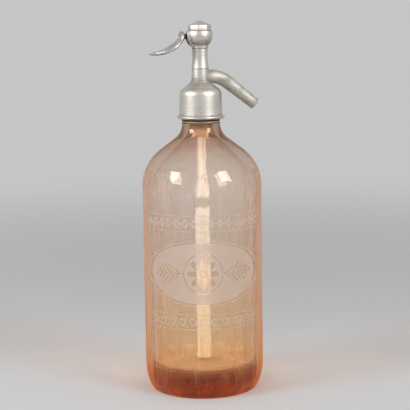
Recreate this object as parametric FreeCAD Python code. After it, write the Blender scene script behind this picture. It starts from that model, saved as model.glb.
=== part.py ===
"""Soda siphon: a twelve-sided glass bottle with a turned metal head, a spout and a thumb lever.

All sizes are in millimetres. The origin is on the bottle's axis, in the plane it stands on,
with +Z up, the spout towards +X and the lever towards -X.
"""
import FreeCAD, Part
import math
import os

Vector = FreeCAD.Vector

tiny = 1e-6                     # lengths under this count as nothing
overshoot = 1.0                 # how far a cutting body runs past what it cuts

# ---------------------------------------------------------------- bottle, outside
body_half_flats = 49.3          # axis to the middle of each flat side
flat_count = 12                 # flat sides round the body
flat_edge_round = 6.0           # round of the edge between two flats
flats_margin = 0.05             # turned form outside the rounded edges of the flats
body_height = 172.3             # table to the start of the shoulder
shoulder_round = 40.0           # radius of the shoulder's bulge, in section
shoulder_slope = 52.8           # degrees the shoulder's straight part leans from upright
neck_hollow = 15.0              # radius of the hollow under the neck, in section
neck_radius = 16.1              # glass neck, just below the collar
heel_height = 23.0              # height at which the heel starts to turn in
heel_round = 44.0               # radius of the heel, in section
foot_edge_round = 2.5           # small round between the heel and the resting ring
foot_ring_width = 3.0           # flat ring that the bottle stands on
punt_depth = 7.0                # hollow under the base

# ---------------------------------------------------------------- bottle, inside
glass_wall = 6.8                # at the middle of a flat
floor_height = 20.5             # inner floor at its lowest
floor_dome = 3.0                # rise of the inner floor at the axis
floor_corner = 7.0              # round between the inner floor and the wall
mouth_bore = 10.0               # bore of the neck

# ---------------------------------------------------------------- neck finish
neck_shelf = 1.0                # straight glass above the neck's hollow
neck_groove_radius = 13.0       # glass inside the collar
neck_groove_height = 11.0       # height of the groove that the collar fills
bead_reach = 1.6                # bead beyond the groove, for the collar to pull on
bead_height = 8.0               # groove to the mouth
bead_round = 1.2                # round of the bead's upper edge
gasket_thickness = 1.5
gasket_margin = 0.3             # gasket inside the mouth's edges

# ---------------------------------------------------------------- collar, in two halves
collar_wall = 1.0               # collar's skirt, up to the crest of its thread
collar_slack = 0.3              # collar to glass, all round
collar_rest = 0.5               # collar's foot above the glass shelf
collar_skirt_height = 5.2       # part of the collar beside the bead
collar_split = 0.4              # gap between the two halves
thread_depth = 0.45
thread_pitch = 2.0
thread_turns = 3
thread_start = 3.6              # first thread above the collar's foot
thread_slack = 0.08             # collar thread to bell thread

# ---------------------------------------------------------------- lower casting of the head
bell_depth = 17.15              # ceiling of the bell down to its rim
bell_wall_low = 2.07            # just above the rim
bell_wall_high = 1.77           # at the start of its shoulder
bell_shoulder_round = 6.5       # radius of the bell's shoulder, in section
bell_shoulder_rise = 2.8        # ceiling to the start of the shoulder
cove_round = 5.0                # hollow between the bell and the casting's neck
cove_rise = 16.4                # ceiling to the end of that hollow
casting_neck_low = 7.36         # radius of the casting's neck at the hollow
casting_neck_high = 7.18        # radius at the joint with the column
casting_rise = 24.75            # ceiling to the joint with the column
rim_reach = 1.15                # centre of the rim's nose beyond the bell
rim_nose = 0.9                  # radius of the rim's nose
rim_nose_rise = 1.65            # rim's lower edge to the centre of its nose
rim_cove = 1.2                  # radius of the hollow above the rim
rim_undercut = -60.0            # degrees at which the rim's nose meets its sloped lower side
rim_edge = 0.45                 # flat lower edge of the rim beyond the bell
boss_length = 15.5              # inner boss, down from the ceiling into the neck
boss_slack = 0.8                # boss to the bottle's bore
boss_wall = 1.1
spigot_radius = 5.3             # spigot that holds the column
spigot_height = 7.75
fit_slack = 0.05                # screwed and pushed joints that don't move

# ---------------------------------------------------------------- valve
seat_rise = 10.0                # ceiling of the bell to the valve seat's face
chamber_radius = 6.2            # chamber below the seat
chamber_drop = 4.0              # chamber's lower end below the ceiling
passage_radius = 3.3            # water passage above the seat
seat_lip_height = 0.5
seat_lip_width = 0.8
seat_gap = 0.05                 # seat lip to rubber
rubber_radius = 4.9
rubber_thickness = 3.5
cup_wall = 0.5
cup_floor = 1.9
cup_grip = 2.0                  # how far the cup's wall stands up round the rubber
nut_across_flats = 6.0
nut_corners = 6
nut_height = 2.3
rod_radius = 1.5
rod_tail = 0.7                  # rod beyond the nut

# ---------------------------------------------------------------- seal round the rod
gland_radius = 3.9              # bore for the seal and its nut
gland_floor_drop = 1.85         # joint with the column down to the floor of that bore
packing_count = 4
packing_thickness = 1.0
packing_slack = 0.05            # seal and nut to their bore
rod_slack = 0.06                # seal, nut and washer to the moving rod
gland_nut_slot = 1.2            # screwdriver slot across the gland nut
gland_nut_slot_depth = 1.0

# ---------------------------------------------------------------- column and spring
column_length = 16.52           # joint with the casting to joint with the lever housing
column_waist = 6.42             # smallest radius
column_waist_rise = 10.5        # joint with the casting to the waist
column_top_radius = 6.5
column_bead = 0.22              # bead's height over the column's upper end
column_bead_drop = 1.4          # bead's centre below the upper joint
column_bead_half = 0.55
column_bore = 4.6               # spring chamber
column_spigot_radius = 5.5      # spigot that holds the lever housing
column_spigot_height = 3.73
spring_washer_thickness = 0.8
spring_washer_slack = 0.2
spring_radius = 3.5             # to the middle of the wire
spring_wire = 1.0
spring_turns = 6

# ---------------------------------------------------------------- lever housing and cap
ball_radius = 10.85
ball_centre_rise = 11.13        # joint with the column to the ball's centre
ball_top_rise = 3.5             # ball's centre to the cap's seat
housing_foot_radius = 6.95      # collar band under the ball
housing_foot_height = 2.2
chamber_wall_radius = 8.4       # lever chamber inside the ball
chamber_floor_rise = 7.7        # joint with the column to the chamber's straight wall
slot_boss_reach = 0.75          # slot boss beyond the ball
slot_boss_drop = 0.5            # centre of the boss's curve below the ball's centre
slot_boss_half_width = 4.2
slot_boss_foot = 7.5            # radius of the boss at the joint with the column
slot_boss_foot_rise = 3.6       # joint with the column to the end of the boss's curve
slot_slack = 0.3                # lever to slot, each side
cap_corner_radius = 9.7
cap_corners = 8
cap_first_corner = 249.0        # degrees, from +X
cap_side_height = 4.9
cap_point_height = 3.9
cap_skirt_drop = 1.9            # screwed skirt inside the ball
cap_skirt_wall = 1.7
cap_hollow_height = 2.4
cap_edge_round = 0.35

# ---------------------------------------------------------------- lever
lever_pin_drop = 1.1            # ball's centre down to the pin
lever_pin_radius = 1.25
lever_pin_slack = 0.05          # pin to the tongue that turns on it
pin_hole_slack = 0.02           # pin to the housing that holds it
eye_radius = 2.2
eye_slack = 0.6                 # lever's eye to the wall of its chamber
tongue_width = 4.0
nose_radius = 2.2               # part of the tongue that pushes the button
nose_drop = 2.3                 # pin's height down to the nose's centre
nose_gap = 0.15                 # nose to button at rest
lever_travel = 14.0             # degrees
thumb_offset = 15.4             # siphon's axis to the thumbpiece's upright end
thumb_top_rise = 4.6            # pin's height to the thumbpiece's upper end
thumb_bend_rise = 1.7           # pin's height to the start of the bend
thumb_first_bend = 9.3          # radius of the tight bend
thumb_second_bend = 30.2        # radius of the long bend
thumb_bend_split = 45.0         # degrees turned by the tight bend
thumb_tip_length = 4.1          # straight end
thumb_thickness = 3.2
thumb_groove_depth = 0.6
thumb_rim = 1.5                 # raised rim round the groove
thumb_half_width = 12.0
thumb_top_half_width = 7.0
thumb_tip_half_width = 4.6
thumb_widest = 10.5             # centre of the upper round to the widest place, along the chord
tail_height = 3.2               # part of the tongue inside the thumbpiece
tail_depth = 1.4

# ---------------------------------------------------------------- button on the rod
button_slack = 0.5              # button to the spring chamber
button_height = 2.15
button_edge_round = 0.4

# ---------------------------------------------------------------- spout
spout_drop = 6.75               # joint with the column down to the spout's axis
spout_corner = 16.9             # siphon's axis to where the spout's two runs meet
spout_bend = 24.0               # radius of the bend
spout_fall = 38.5               # degrees below level
spout_run = 39.1                # from that meeting point to the open end
spout_bore = 3.1
spout_root_radius = 5.0
spout_middle_radius = 5.6
spout_tip_radius = 4.95
spout_tip_length = 6.5          # straight end of one radius
spout_socket_radius = 4.4       # spigot inside the casting
spout_socket_depth = 4.2        # siphon's axis to the spigot's end
spout_root_depth = 3.0          # root's cone, before it is cut back to the casting, inside its neck
spout_edge_round = 0.35

# ---------------------------------------------------------------- dip tube and its holder
tube_radius = 4.0
tube_bore = 2.3
tube_floor_gap = 1.6            # tube above the inner floor
tube_top_gap = 1.5              # tube below the top of its socket
sleeve_slack = 0.05
sleeve_wall = 2.4               # rubber below the socket
sleeve_head_height = 5.3        # thick part of the rubber, inside the socket
sleeve_drop = 18.0              # rubber hanging below the socket
tube_nut_height = 8.0           # head of the nut, below the socket

# ---------------------------------------------------------------- locking pin
locking_pin_radius = 0.9
locking_pin_drop = 6.7          # ceiling of the bell down to the pin
locking_pin_angle = 254.0       # degrees, from +X
locking_pin_proud = 0.12

# ---------------------------------------------------------------- heights that follow
half_step = 180.0 / flat_count
sharp_corner = body_half_flats / math.cos(math.radians(half_step))
body_corner_radius = sharp_corner - flat_edge_round * (1 / math.cos(math.radians(half_step)) - 1)
turned_radius = body_corner_radius + flats_margin
heel_reach = math.sqrt(heel_round ** 2 - heel_height ** 2)
foot_edge_radius = turned_radius - heel_round + heel_reach
lean = math.radians(shoulder_slope)
shoulder_bends = shoulder_round + neck_hollow
shoulder_straight = (turned_radius - neck_radius - shoulder_bends * (1 - math.cos(lean))) / math.sin(lean)
shoulder_rise = shoulder_bends * math.sin(lean) + shoulder_straight * math.cos(lean)
neck_base = body_height + shoulder_rise
shelf_height = neck_base + neck_shelf
bead_base = shelf_height + neck_groove_height
bead_radius = neck_groove_radius + bead_reach
mouth_height = bead_base + bead_height
ceiling = mouth_height + gasket_thickness

rim_height = ceiling - bell_depth
casting_top = ceiling + casting_rise
spigot_top = casting_top + spigot_height
seat_face = ceiling + seat_rise
gland_floor = casting_top - gland_floor_drop
column_top = casting_top + column_length
column_spigot_top = column_top + column_spigot_height
ball_centre = column_top + ball_centre_rise
cap_seat = ball_centre + ball_top_rise
cap_shoulder = cap_seat + cap_side_height

collar_foot = shelf_height + collar_rest
collar_top = bead_base + collar_skirt_height
collar_radius = bead_radius + collar_slack + collar_wall
bell_bore = collar_radius + thread_slack
bell_radius_low = bell_bore + bell_wall_low
bell_radius_high = bell_bore + bell_wall_high
thread_base = collar_foot + thread_start

boss_radius = mouth_bore - boss_slack
boss_bore = boss_radius - boss_wall
boss_end = ceiling - boss_length
socket_top = ceiling - chamber_drop

pin_height = ball_centre - lever_pin_drop
lever_pin_offset = chamber_wall_radius - eye_radius - eye_slack
nose_centre = pin_height - nose_drop
button_top = nose_centre - nose_radius - nose_gap
button_base = button_top - button_height
button_radius = column_bore - button_slack
rubber_top = seat_face - seat_lip_height - seat_gap
rubber_base = rubber_top - rubber_thickness
cup_base = rubber_base - cup_floor
nut_base = cup_base - nut_height
cup_radius = rubber_radius + fit_slack + cup_wall
rod_hole = rod_radius + rod_slack

spout_height = casting_top - spout_drop
inner_radius = body_half_flats - glass_wall
inner_bulge = shoulder_round - glass_wall
inner_bend_end = inner_radius - inner_bulge * (1 - math.cos(lean))
inner_bend_top = body_height + inner_bulge * math.sin(lean)
neck_inner_hollow = ((mouth_bore - inner_bend_end) * math.cos(lean)
                     + (neck_base - inner_bend_top) * math.sin(lean)) / (1 - math.cos(lean))
thumb_chord_start = pin_height + thumb_top_rise


# ---------------------------------------------------------------- drawing helpers
def at_angle(centre, size, degrees):
    """Point of the section plane at an angle and distance from a centre (radius, height)."""
    turn = math.radians(degrees)
    return centre[0] + size * math.cos(turn), centre[1] + size * math.sin(turn)


def section_point(radius, height):
    """Point of the XZ plane."""
    return Vector(radius, 0, height)


class Outline:
    """A closed outline of lines and arcs in the XZ plane."""

    def __init__(self, radius, height):
        self.first = section_point(radius, height)
        self.last = self.first
        self.edges = []

    def line(self, radius, height):
        """Straight to a point."""
        end = section_point(radius, height)
        if end.distanceToPoint(self.last) > tiny:
            self.edges.append(Part.LineSegment(self.last, end).toShape())
        self.last = end
        return self

    def arc(self, middle, end):
        """Arc through a middle point to an end point, both (radius, height)."""
        end_point = section_point(*end)
        self.edges.append(Part.Arc(self.last, section_point(*middle), end_point).toShape())
        self.last = end_point
        return self

    def round(self, centre, size, start, end):
        """Line to the start of an arc about a centre, then that arc, between two angles."""
        self.line(*at_angle(centre, size, start))
        return self.arc(at_angle(centre, size, (start + end) / 2), at_angle(centre, size, end))

    def dome(self, edge, rise):
        """Shallow arc from the axis down to an edge radius, rise below its start."""
        size = (edge ** 2 + rise ** 2) / (2 * rise)
        centre = (0, self.last.z - size)
        end = 90 - math.degrees(math.asin(edge / size))
        return self.arc(at_angle(centre, size, (90 + end) / 2), at_angle(centre, size, end))

    def thread(self, radius):
        """Collar thread drawn as rings, upwards: crests at a radius, grooves inside it."""
        for step in range(2 * thread_turns + 1):
            self.line(radius - thread_depth * (step % 2), thread_base + thread_pitch * step / 2)
        return self

    def face(self):
        """The closed outline as a face."""
        self.line(self.first.x, self.first.z)
        return Part.Face(Part.Wire(self.edges))

    def turned(self):
        """The outline turned round the Z axis."""
        return self.face().revolve(Vector(0, 0, 0), Vector(0, 0, 1), 360)

    def extruded(self, half_width):
        """The outline made solid, to the same width on both sides of the XZ plane."""
        solid = self.face().extrude(Vector(0, 2 * half_width, 0))
        solid.translate(Vector(0, -half_width, 0))
        return solid


def cylinder(radius, low, high):
    """Upright cylinder on the siphon's axis."""
    return Part.makeCylinder(radius, high - low, Vector(0, 0, low))


def ring(outer, inner, low, high):
    """Upright ring on the siphon's axis."""
    return cylinder(outer, low, high).cut(cylinder(inner, low, high))


def cross_cylinder(radius, start, direction, length):
    """Cylinder from a point along a direction."""
    return Part.makeCylinder(radius, length, start, direction)


def prism(corner_radius, corners, first_corner, low, high):
    """Upright prism with a regular outline."""
    points = []
    for step in range(corners + 1):
        turn = math.radians(first_corner + 360.0 * step / corners)
        points.append(Vector(corner_radius * math.cos(turn), corner_radius * math.sin(turn), low))
    return Part.Face(Part.makePolygon(points)).extrude(Vector(0, 0, high - low))


def upright_edges(shape):
    """Straight edges that run along Z."""
    found = []
    for edge in shape.Edges:
        span = edge.Vertexes[-1].Point - edge.Vertexes[0].Point
        if math.hypot(span.x, span.y) < tiny and abs(span.z) > tiny:
            found.append(edge)
    return found


def circles_at(shape, height, radius):
    """Round edges of one radius at one height."""
    found = []
    for edge in shape.Edges:
        curve = edge.Curve
        if isinstance(curve, Part.Circle) and abs(curve.Center.z - height) < tiny:
            if abs(curve.Radius - radius) < tiny:
                found.append(edge)
    return found


def slope_between(low_centre, low_round, high_centre, high_round):
    """Angle of the normal of the straight run between a bulge and the hollow above it."""
    reach = high_centre[0] - low_centre[0]
    rise = high_centre[1] - low_centre[1]
    apart = math.hypot(reach, rise)
    lean = math.degrees(math.acos((low_round + high_round) / apart))
    return math.degrees(math.atan2(rise, reach)) - lean


# ---------------------------------------------------------------- bottle
def bottle_outside():
    """Outer form of the bottle: turned, then cut by the twelve flats."""
    heel_centre = (turned_radius - heel_round, heel_height)
    foot_angle = -math.degrees(math.asin(heel_height / heel_round))
    bulge = (turned_radius - shoulder_round, body_height)
    hollow = (neck_radius + neck_hollow, neck_base)
    outline = Outline(0, 0)
    outline.round(heel_centre, heel_round, foot_angle, 0)
    outline.round(bulge, shoulder_round, 0, shoulder_slope)
    outline.round(hollow, neck_hollow, 180 + shoulder_slope, 180)
    outline.line(neck_radius, shelf_height)
    outline.line(neck_groove_radius, shelf_height)
    outline.line(neck_groove_radius, bead_base)
    outline.line(bead_radius, bead_base)
    outline.line(bead_radius, mouth_height)
    outline.line(0, mouth_height)
    turned = outline.turned()
    rounded = turned.makeFillet(foot_edge_round, circles_at(turned, 0, foot_edge_radius))
    rounded = rounded.makeFillet(bead_round, circles_at(rounded, mouth_height, bead_radius))
    flats = prism(sharp_corner, flat_count, half_step, -overshoot, mouth_height + overshoot)
    flats = flats.makeFillet(flat_edge_round, upright_edges(flats))
    return rounded.common(flats)


def bottle_inside():
    """The space for the water, from the floor to the mouth."""
    bulge = (inner_radius - inner_bulge, body_height)
    hollow = (mouth_bore + neck_inner_hollow, neck_base)
    corner = (inner_radius - floor_corner, floor_height + floor_corner)
    outline = Outline(0, floor_height + floor_dome)
    outline.dome(inner_radius - floor_corner, floor_dome)
    outline.round(corner, floor_corner, -90, 0)
    outline.round(bulge, inner_bulge, 0, shoulder_slope)
    outline.round(hollow, neck_inner_hollow, 180 + shoulder_slope, 180)
    outline.line(mouth_bore, mouth_height + overshoot)
    outline.line(0, mouth_height + overshoot)
    return outline.turned()


def bottle_punt():
    """The hollow under the base, inside the resting ring."""
    edge = foot_edge_radius - foot_edge_round - foot_ring_width
    outline = Outline(0, punt_depth)
    outline.dome(edge, punt_depth)
    outline.line(edge, -overshoot)
    outline.line(0, -overshoot)
    return outline.turned()


def make_bottle():
    """Moulded glass bottle."""
    return bottle_outside().cut(bottle_inside()).cut(bottle_punt())


def make_gasket():
    """Flat seal between the mouth and the bell."""
    return ring(bead_radius - gasket_margin, mouth_bore + gasket_margin, mouth_height, ceiling)


# ---------------------------------------------------------------- collar
def collar_ring():
    """Threaded ring round the neck, before it is split."""
    inner = neck_groove_radius + collar_slack
    skirt = bead_radius + collar_slack
    lift = bead_base - collar_slack
    outline = Outline(inner, collar_foot)
    outline.line(collar_radius, collar_foot)
    outline.thread(collar_radius)
    outline.line(collar_radius, collar_top)
    outline.line(skirt, collar_top)
    outline.line(skirt, lift)
    outline.line(inner, lift)
    return outline.turned().cut(locking_pin_hole())


def make_collar_half(front):
    """Front or back half of the collar."""
    size = 2 * collar_radius
    half = Part.makeBox(2 * size, size, size)
    if front:
        half.translate(Vector(-size, -size - collar_split / 2, collar_foot - overshoot))
    else:
        half.translate(Vector(-size, collar_split / 2, collar_foot - overshoot))
    return collar_ring().common(half)


def pin_direction():
    """Unit vector along the locking pin, outwards."""
    turn = math.radians(locking_pin_angle)
    return Vector(math.cos(turn), math.sin(turn), 0)


def locking_pin_hole():
    """Hole for the locking pin, through the collar's skirt and the bell."""
    start = pin_direction() * neck_groove_radius + Vector(0, 0, ceiling - locking_pin_drop)
    return cross_cylinder(locking_pin_radius + fit_slack, start, pin_direction(), bell_radius_low)


def make_locking_pin():
    """Pin that stops the bell from unscrewing."""
    inner_end = bead_radius + collar_slack + fit_slack
    drop = (locking_pin_drop + bell_shoulder_rise) / (bell_depth + bell_shoulder_rise)
    bell_there = bell_radius_high + (bell_radius_low - bell_radius_high) * drop
    start = pin_direction() * inner_end + Vector(0, 0, ceiling - locking_pin_drop)
    length = bell_there + locking_pin_proud - inner_end
    pin = cross_cylinder(locking_pin_radius, start, pin_direction(), length)
    outer = start + pin_direction() * length
    rims = [edge for edge in pin.Edges if isinstance(edge.Curve, Part.Circle)
            and edge.Curve.Center.distanceToPoint(outer) < tiny]
    return pin.makeFillet(locking_pin_proud, rims)


# ---------------------------------------------------------------- head casting
def bell_outside():
    """Outer form of the lower casting."""
    bulge = (bell_radius_high - bell_shoulder_round, ceiling + bell_shoulder_rise)
    hollow = (casting_neck_low + cove_round, ceiling + cove_rise)
    slope = slope_between(bulge, bell_shoulder_round, hollow, cove_round)
    nose = (bell_radius_low + rim_reach, rim_height + rim_nose_rise)
    apart = rim_nose + rim_cove
    tilt = math.degrees(math.asin((rim_cove - rim_reach) / apart))
    cove = at_angle(nose, apart, 90 - tilt)
    outline = Outline(0, rim_height)
    outline.line(bell_radius_low + rim_edge, rim_height)
    outline.round(nose, rim_nose, rim_undercut, 90 - tilt)
    outline.round(cove, rim_cove, 270 - tilt, 180)
    outline.round(bulge, bell_shoulder_round, 0, slope)
    outline.round(hollow, cove_round, 180 + slope, 180)
    outline.line(casting_neck_high, casting_top)
    outline.line(spigot_radius, casting_top)
    outline.line(spigot_radius, spigot_top)
    outline.line(0, spigot_top)
    return outline.turned()


def bell_inside():
    """Space under the bell, round the boss, with the thread for the collar."""
    outline = Outline(boss_radius, ceiling)
    outline.line(boss_radius, boss_end)
    outline.line(0, boss_end)
    outline.line(0, rim_height - overshoot)
    outline.line(bell_bore, rim_height - overshoot)
    outline.thread(bell_bore)
    outline.line(bell_bore, ceiling)
    return outline.turned()


def water_way():
    """Bores on the axis of the casting, from the tube's socket to the rod's seal."""
    bores = cylinder(boss_bore, boss_end - overshoot, socket_top)
    bores = bores.fuse(cylinder(chamber_radius, boss_end - overshoot, seat_face))
    bores = bores.fuse(cylinder(passage_radius, seat_face - overshoot, gland_floor + overshoot))
    bores = bores.fuse(cylinder(gland_radius, gland_floor, spigot_top + overshoot))
    lip = ring(passage_radius + seat_lip_width, passage_radius, seat_face - seat_lip_height, seat_face)
    return bores.cut(lip)


def make_head_bell():
    """Lower casting: bell, valve chamber, seat and sockets."""
    casting = bell_outside().cut(bell_inside()).cut(water_way())
    level = Vector(0, 0, spout_height)
    outwards = Vector(1, 0, 0)
    casting = casting.cut(cross_cylinder(spout_bore, level, outwards, casting_neck_low + overshoot))
    socket_start = level + outwards * (spout_socket_depth - fit_slack)
    socket = cross_cylinder(spout_socket_radius + fit_slack, socket_start, outwards, bell_radius_low)
    return casting.cut(socket).cut(locking_pin_hole())


# ---------------------------------------------------------------- spout
def spout_direction():
    """Unit vector along the spout's falling run."""
    fall = math.radians(spout_fall)
    return Vector(math.cos(fall), 0, -math.sin(fall))


def spout_bend_reach():
    """Distance from the runs' meeting point to each end of the bend."""
    return spout_bend * math.tan(math.radians(spout_fall / 2))


def spout_places():
    """Start and end of the bend, and the open end."""
    corner = Vector(spout_corner, 0, spout_height)
    bend_start = corner - Vector(spout_bend_reach(), 0, 0)
    bend_end = corner + spout_direction() * spout_bend_reach()
    open_end = corner + spout_direction() * spout_run
    return bend_start, bend_end, open_end


def spout_bend_solid(radius):
    """Bent stretch of the spout, or of its bore."""
    bend_start, _, _ = spout_places()
    circle = Part.Circle(bend_start, Vector(1, 0, 0), radius).toShape()
    section = Part.Face(Part.Wire([circle]))
    pivot = bend_start - Vector(0, 0, spout_bend)
    return section.revolve(pivot, Vector(0, 1, 0), spout_fall)


def spout_outside():
    """Spigot, root, bend, taper and straight end."""
    bend_start, bend_end, open_end = spout_places()
    outwards = Vector(1, 0, 0)
    spigot_start = Vector(spout_socket_depth, 0, spout_height)
    root_start = Vector(casting_neck_high - spout_root_depth, 0, spout_height)
    spigot = cross_cylinder(spout_socket_radius, spigot_start, outwards, bend_start.x - spigot_start.x)
    root_length = bend_start.x - root_start.x
    root = Part.makeCone(spout_root_radius, spout_middle_radius, root_length, root_start, outwards)
    taper_length = open_end.distanceToPoint(bend_end) - spout_tip_length
    taper = Part.makeCone(spout_middle_radius, spout_tip_radius, taper_length, bend_end, spout_direction())
    tip_start = bend_end + spout_direction() * taper_length
    tip = cross_cylinder(spout_tip_radius, tip_start, spout_direction(), spout_tip_length)
    tip_rim = [edge for edge in tip.Edges if isinstance(edge.Curve, Part.Circle)
               and edge.Curve.Center.distanceToPoint(open_end) < tiny]
    tip = tip.makeFillet(spout_edge_round, tip_rim)
    shoulder = root.fuse(spout_bend_solid(spout_middle_radius)).cut(bell_clearance())
    return spigot.fuse([shoulder, taper, tip])


def bell_clearance():
    """The casting's outer form, a little larger, that the spout's root and bend are cut back from."""
    grown = Outline(0, ceiling + bell_shoulder_rise)
    hollow = (casting_neck_low + cove_round, ceiling + cove_rise)
    grown.line(hollow[0] - fit_slack, ceiling + bell_shoulder_rise)
    grown.round(hollow, cove_round - fit_slack, -90, -180)
    grown.line(casting_neck_high + fit_slack, casting_top)
    grown.line(casting_neck_high + fit_slack, casting_top + spigot_height)
    grown.line(0, casting_top + spigot_height)
    return grown.turned()


def make_spout():
    """Bent tube, pushed and soldered into the side of the casting."""
    bend_start, bend_end, open_end = spout_places()
    outwards = Vector(1, 0, 0)
    level_bore = cross_cylinder(spout_bore, Vector(0, 0, spout_height), outwards, bend_start.x)
    falling = open_end.distanceToPoint(bend_end) + overshoot
    falling_bore = cross_cylinder(spout_bore, bend_end, spout_direction(), falling)
    bore = level_bore.fuse([spout_bend_solid(spout_bore), falling_bore])
    return spout_outside().cut(bore)


# ---------------------------------------------------------------- column
def make_column():
    """Turned tube between the casting and the lever housing."""
    bead = column_top - column_bead_drop
    waist = casting_top + column_waist_rise
    outline = Outline(0, casting_top)
    narrowing = casting_neck_high - column_waist
    sweep = (column_waist_rise ** 2 + narrowing ** 2) / (2 * narrowing)
    lean = math.degrees(math.asin(column_waist_rise / sweep))
    outline.round((column_waist + sweep, waist), sweep, 180 + lean, 180)
    outline.line(column_top_radius, bead - column_bead_half)
    outline.arc((column_top_radius + column_bead, bead), (column_top_radius, bead + column_bead_half))
    outline.line(column_top_radius, column_top)
    outline.line(column_spigot_radius, column_top)
    outline.line(column_spigot_radius, column_spigot_top)
    outline.line(0, column_spigot_top)
    socket = cylinder(spigot_radius + fit_slack, casting_top, spigot_top)
    return outline.turned().cut(socket).cut(cylinder(column_bore, spigot_top, column_spigot_top))


# ---------------------------------------------------------------- lever housing
def ball_outline(radius):
    """Half-section of the foot band and the ball, solid to the axis."""
    foot_top = column_top + housing_foot_height
    start = -math.degrees(math.acos(housing_foot_radius / radius))
    ball_meets_foot = ball_centre + radius * math.sin(math.radians(start))
    end = math.degrees(math.asin(ball_top_rise / radius))
    outline = Outline(0, column_top)
    outline.line(housing_foot_radius, column_top)
    outline.line(housing_foot_radius, min(foot_top, ball_meets_foot))
    outline.round((0, ball_centre), radius, start, end)
    outline.line(0, cap_seat)
    return outline


def slot_boss():
    """Upright band on the lever's side, beyond the ball, that the slot is cut in."""
    centre = (0, ball_centre - slot_boss_drop)
    size = ball_radius + slot_boss_reach
    curve_end = column_top + slot_boss_foot_rise
    start = math.degrees(math.asin((curve_end - centre[1]) / size))
    end = math.degrees(math.asin((cap_seat - centre[1]) / size))
    outline = Outline(0, column_top)
    outline.line(slot_boss_foot, column_top)
    outline.round(centre, size, start, end)
    outline.line(0, cap_seat)
    keep = Part.makeBox(size, 2 * slot_boss_half_width, cap_seat - column_top)
    keep.translate(Vector(-size, -slot_boss_half_width, column_top))
    return outline.turned().common(keep)


def lever_sweep_low(x):
    """Height of the tongue's lower side at a place x, with the lever pressed all the way."""
    turn = math.radians(lever_travel)
    reach = lever_pin_offset - x
    return pin_height - reach * math.tan(turn) - eye_radius / math.cos(turn)


def lever_slot():
    """Slot for the tongue, sloped below to clear it when the lever is pressed."""
    outer = -(ball_radius + slot_boss_reach + overshoot)
    inner = -column_bore
    outline = Outline(outer, lever_sweep_low(outer) - slot_slack)
    outline.line(inner, lever_sweep_low(inner) - slot_slack)
    outline.line(inner, pin_height + eye_radius + slot_slack)
    outline.line(outer, pin_height + eye_radius + slot_slack)
    return outline.extruded(tongue_width / 2 + slot_slack)


def lever_pin_bar(radius, length):
    """Bar across the housing on the lever's axis."""
    start = Vector(lever_pin_offset, -length / 2, pin_height)
    return cross_cylinder(radius, start, Vector(0, 1, 0), length)


def make_lever_housing():
    """Ball with the lever's chamber, its slot and the holes for its pin."""
    chamber = Outline(0, column_top - overshoot)
    chamber.line(column_spigot_radius + fit_slack, column_top - overshoot)
    chamber.line(column_spigot_radius + fit_slack, column_spigot_top)
    chamber.line(chamber_wall_radius, column_top + chamber_floor_rise)
    chamber.line(chamber_wall_radius, cap_seat + overshoot)
    chamber.line(0, cap_seat + overshoot)
    ball = ball_outline(ball_radius).turned().fuse(slot_boss())
    ball = ball.cut(chamber.turned()).cut(lever_slot())
    return ball.cut(lever_pin_bar(lever_pin_radius + pin_hole_slack, 2 * (ball_radius + overshoot)))


def make_lever_pin():
    """Hinge pin, dressed flush with the ball."""
    envelope = ball_outline(ball_radius).turned()
    return lever_pin_bar(lever_pin_radius, 2 * (ball_radius + overshoot)).common(envelope)


def make_housing_cap():
    """Eight-sided cap with a pointed top and a screwed skirt."""
    sides = prism(cap_corner_radius, cap_corners, cap_first_corner, cap_seat, cap_shoulder)
    tip = Vector(0, 0, cap_shoulder + cap_point_height)
    faces = []
    corners = []
    for step in range(cap_corners):
        turn = math.radians(cap_first_corner + 360.0 * step / cap_corners)
        corners.append(Vector(cap_corner_radius * math.cos(turn),
                              cap_corner_radius * math.sin(turn), cap_shoulder))
    for step in range(cap_corners):
        following = corners[(step + 1) % cap_corners]
        faces.append(Part.Face(Part.makePolygon([corners[step], following, tip, corners[step]])))
    faces.append(Part.Face(Part.makePolygon(corners + [corners[0]])))
    point = Part.Solid(Part.Shell(faces))
    cap = sides.fuse(point).removeSplitter()
    shoulder = [edge for edge in cap.Edges
                if all(abs(vertex.Point.z - cap_shoulder) < tiny for vertex in edge.Vertexes)]
    cap = cap.makeFillet(cap_edge_round, shoulder)
    skirt_radius = chamber_wall_radius - fit_slack
    skirt = cylinder(skirt_radius, cap_seat - cap_skirt_drop, cap_seat + cap_hollow_height / 2)
    hollow = cylinder(skirt_radius - cap_skirt_wall, cap_seat - cap_skirt_drop - overshoot,
                      cap_seat + cap_hollow_height)
    return cap.fuse(skirt).cut(hollow)


# ---------------------------------------------------------------- lever
def tail_end():
    """Place of the tongue's far end, inside the thumbpiece."""
    return -(thumb_offset - thumb_thickness / 2 + tail_depth)


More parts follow.
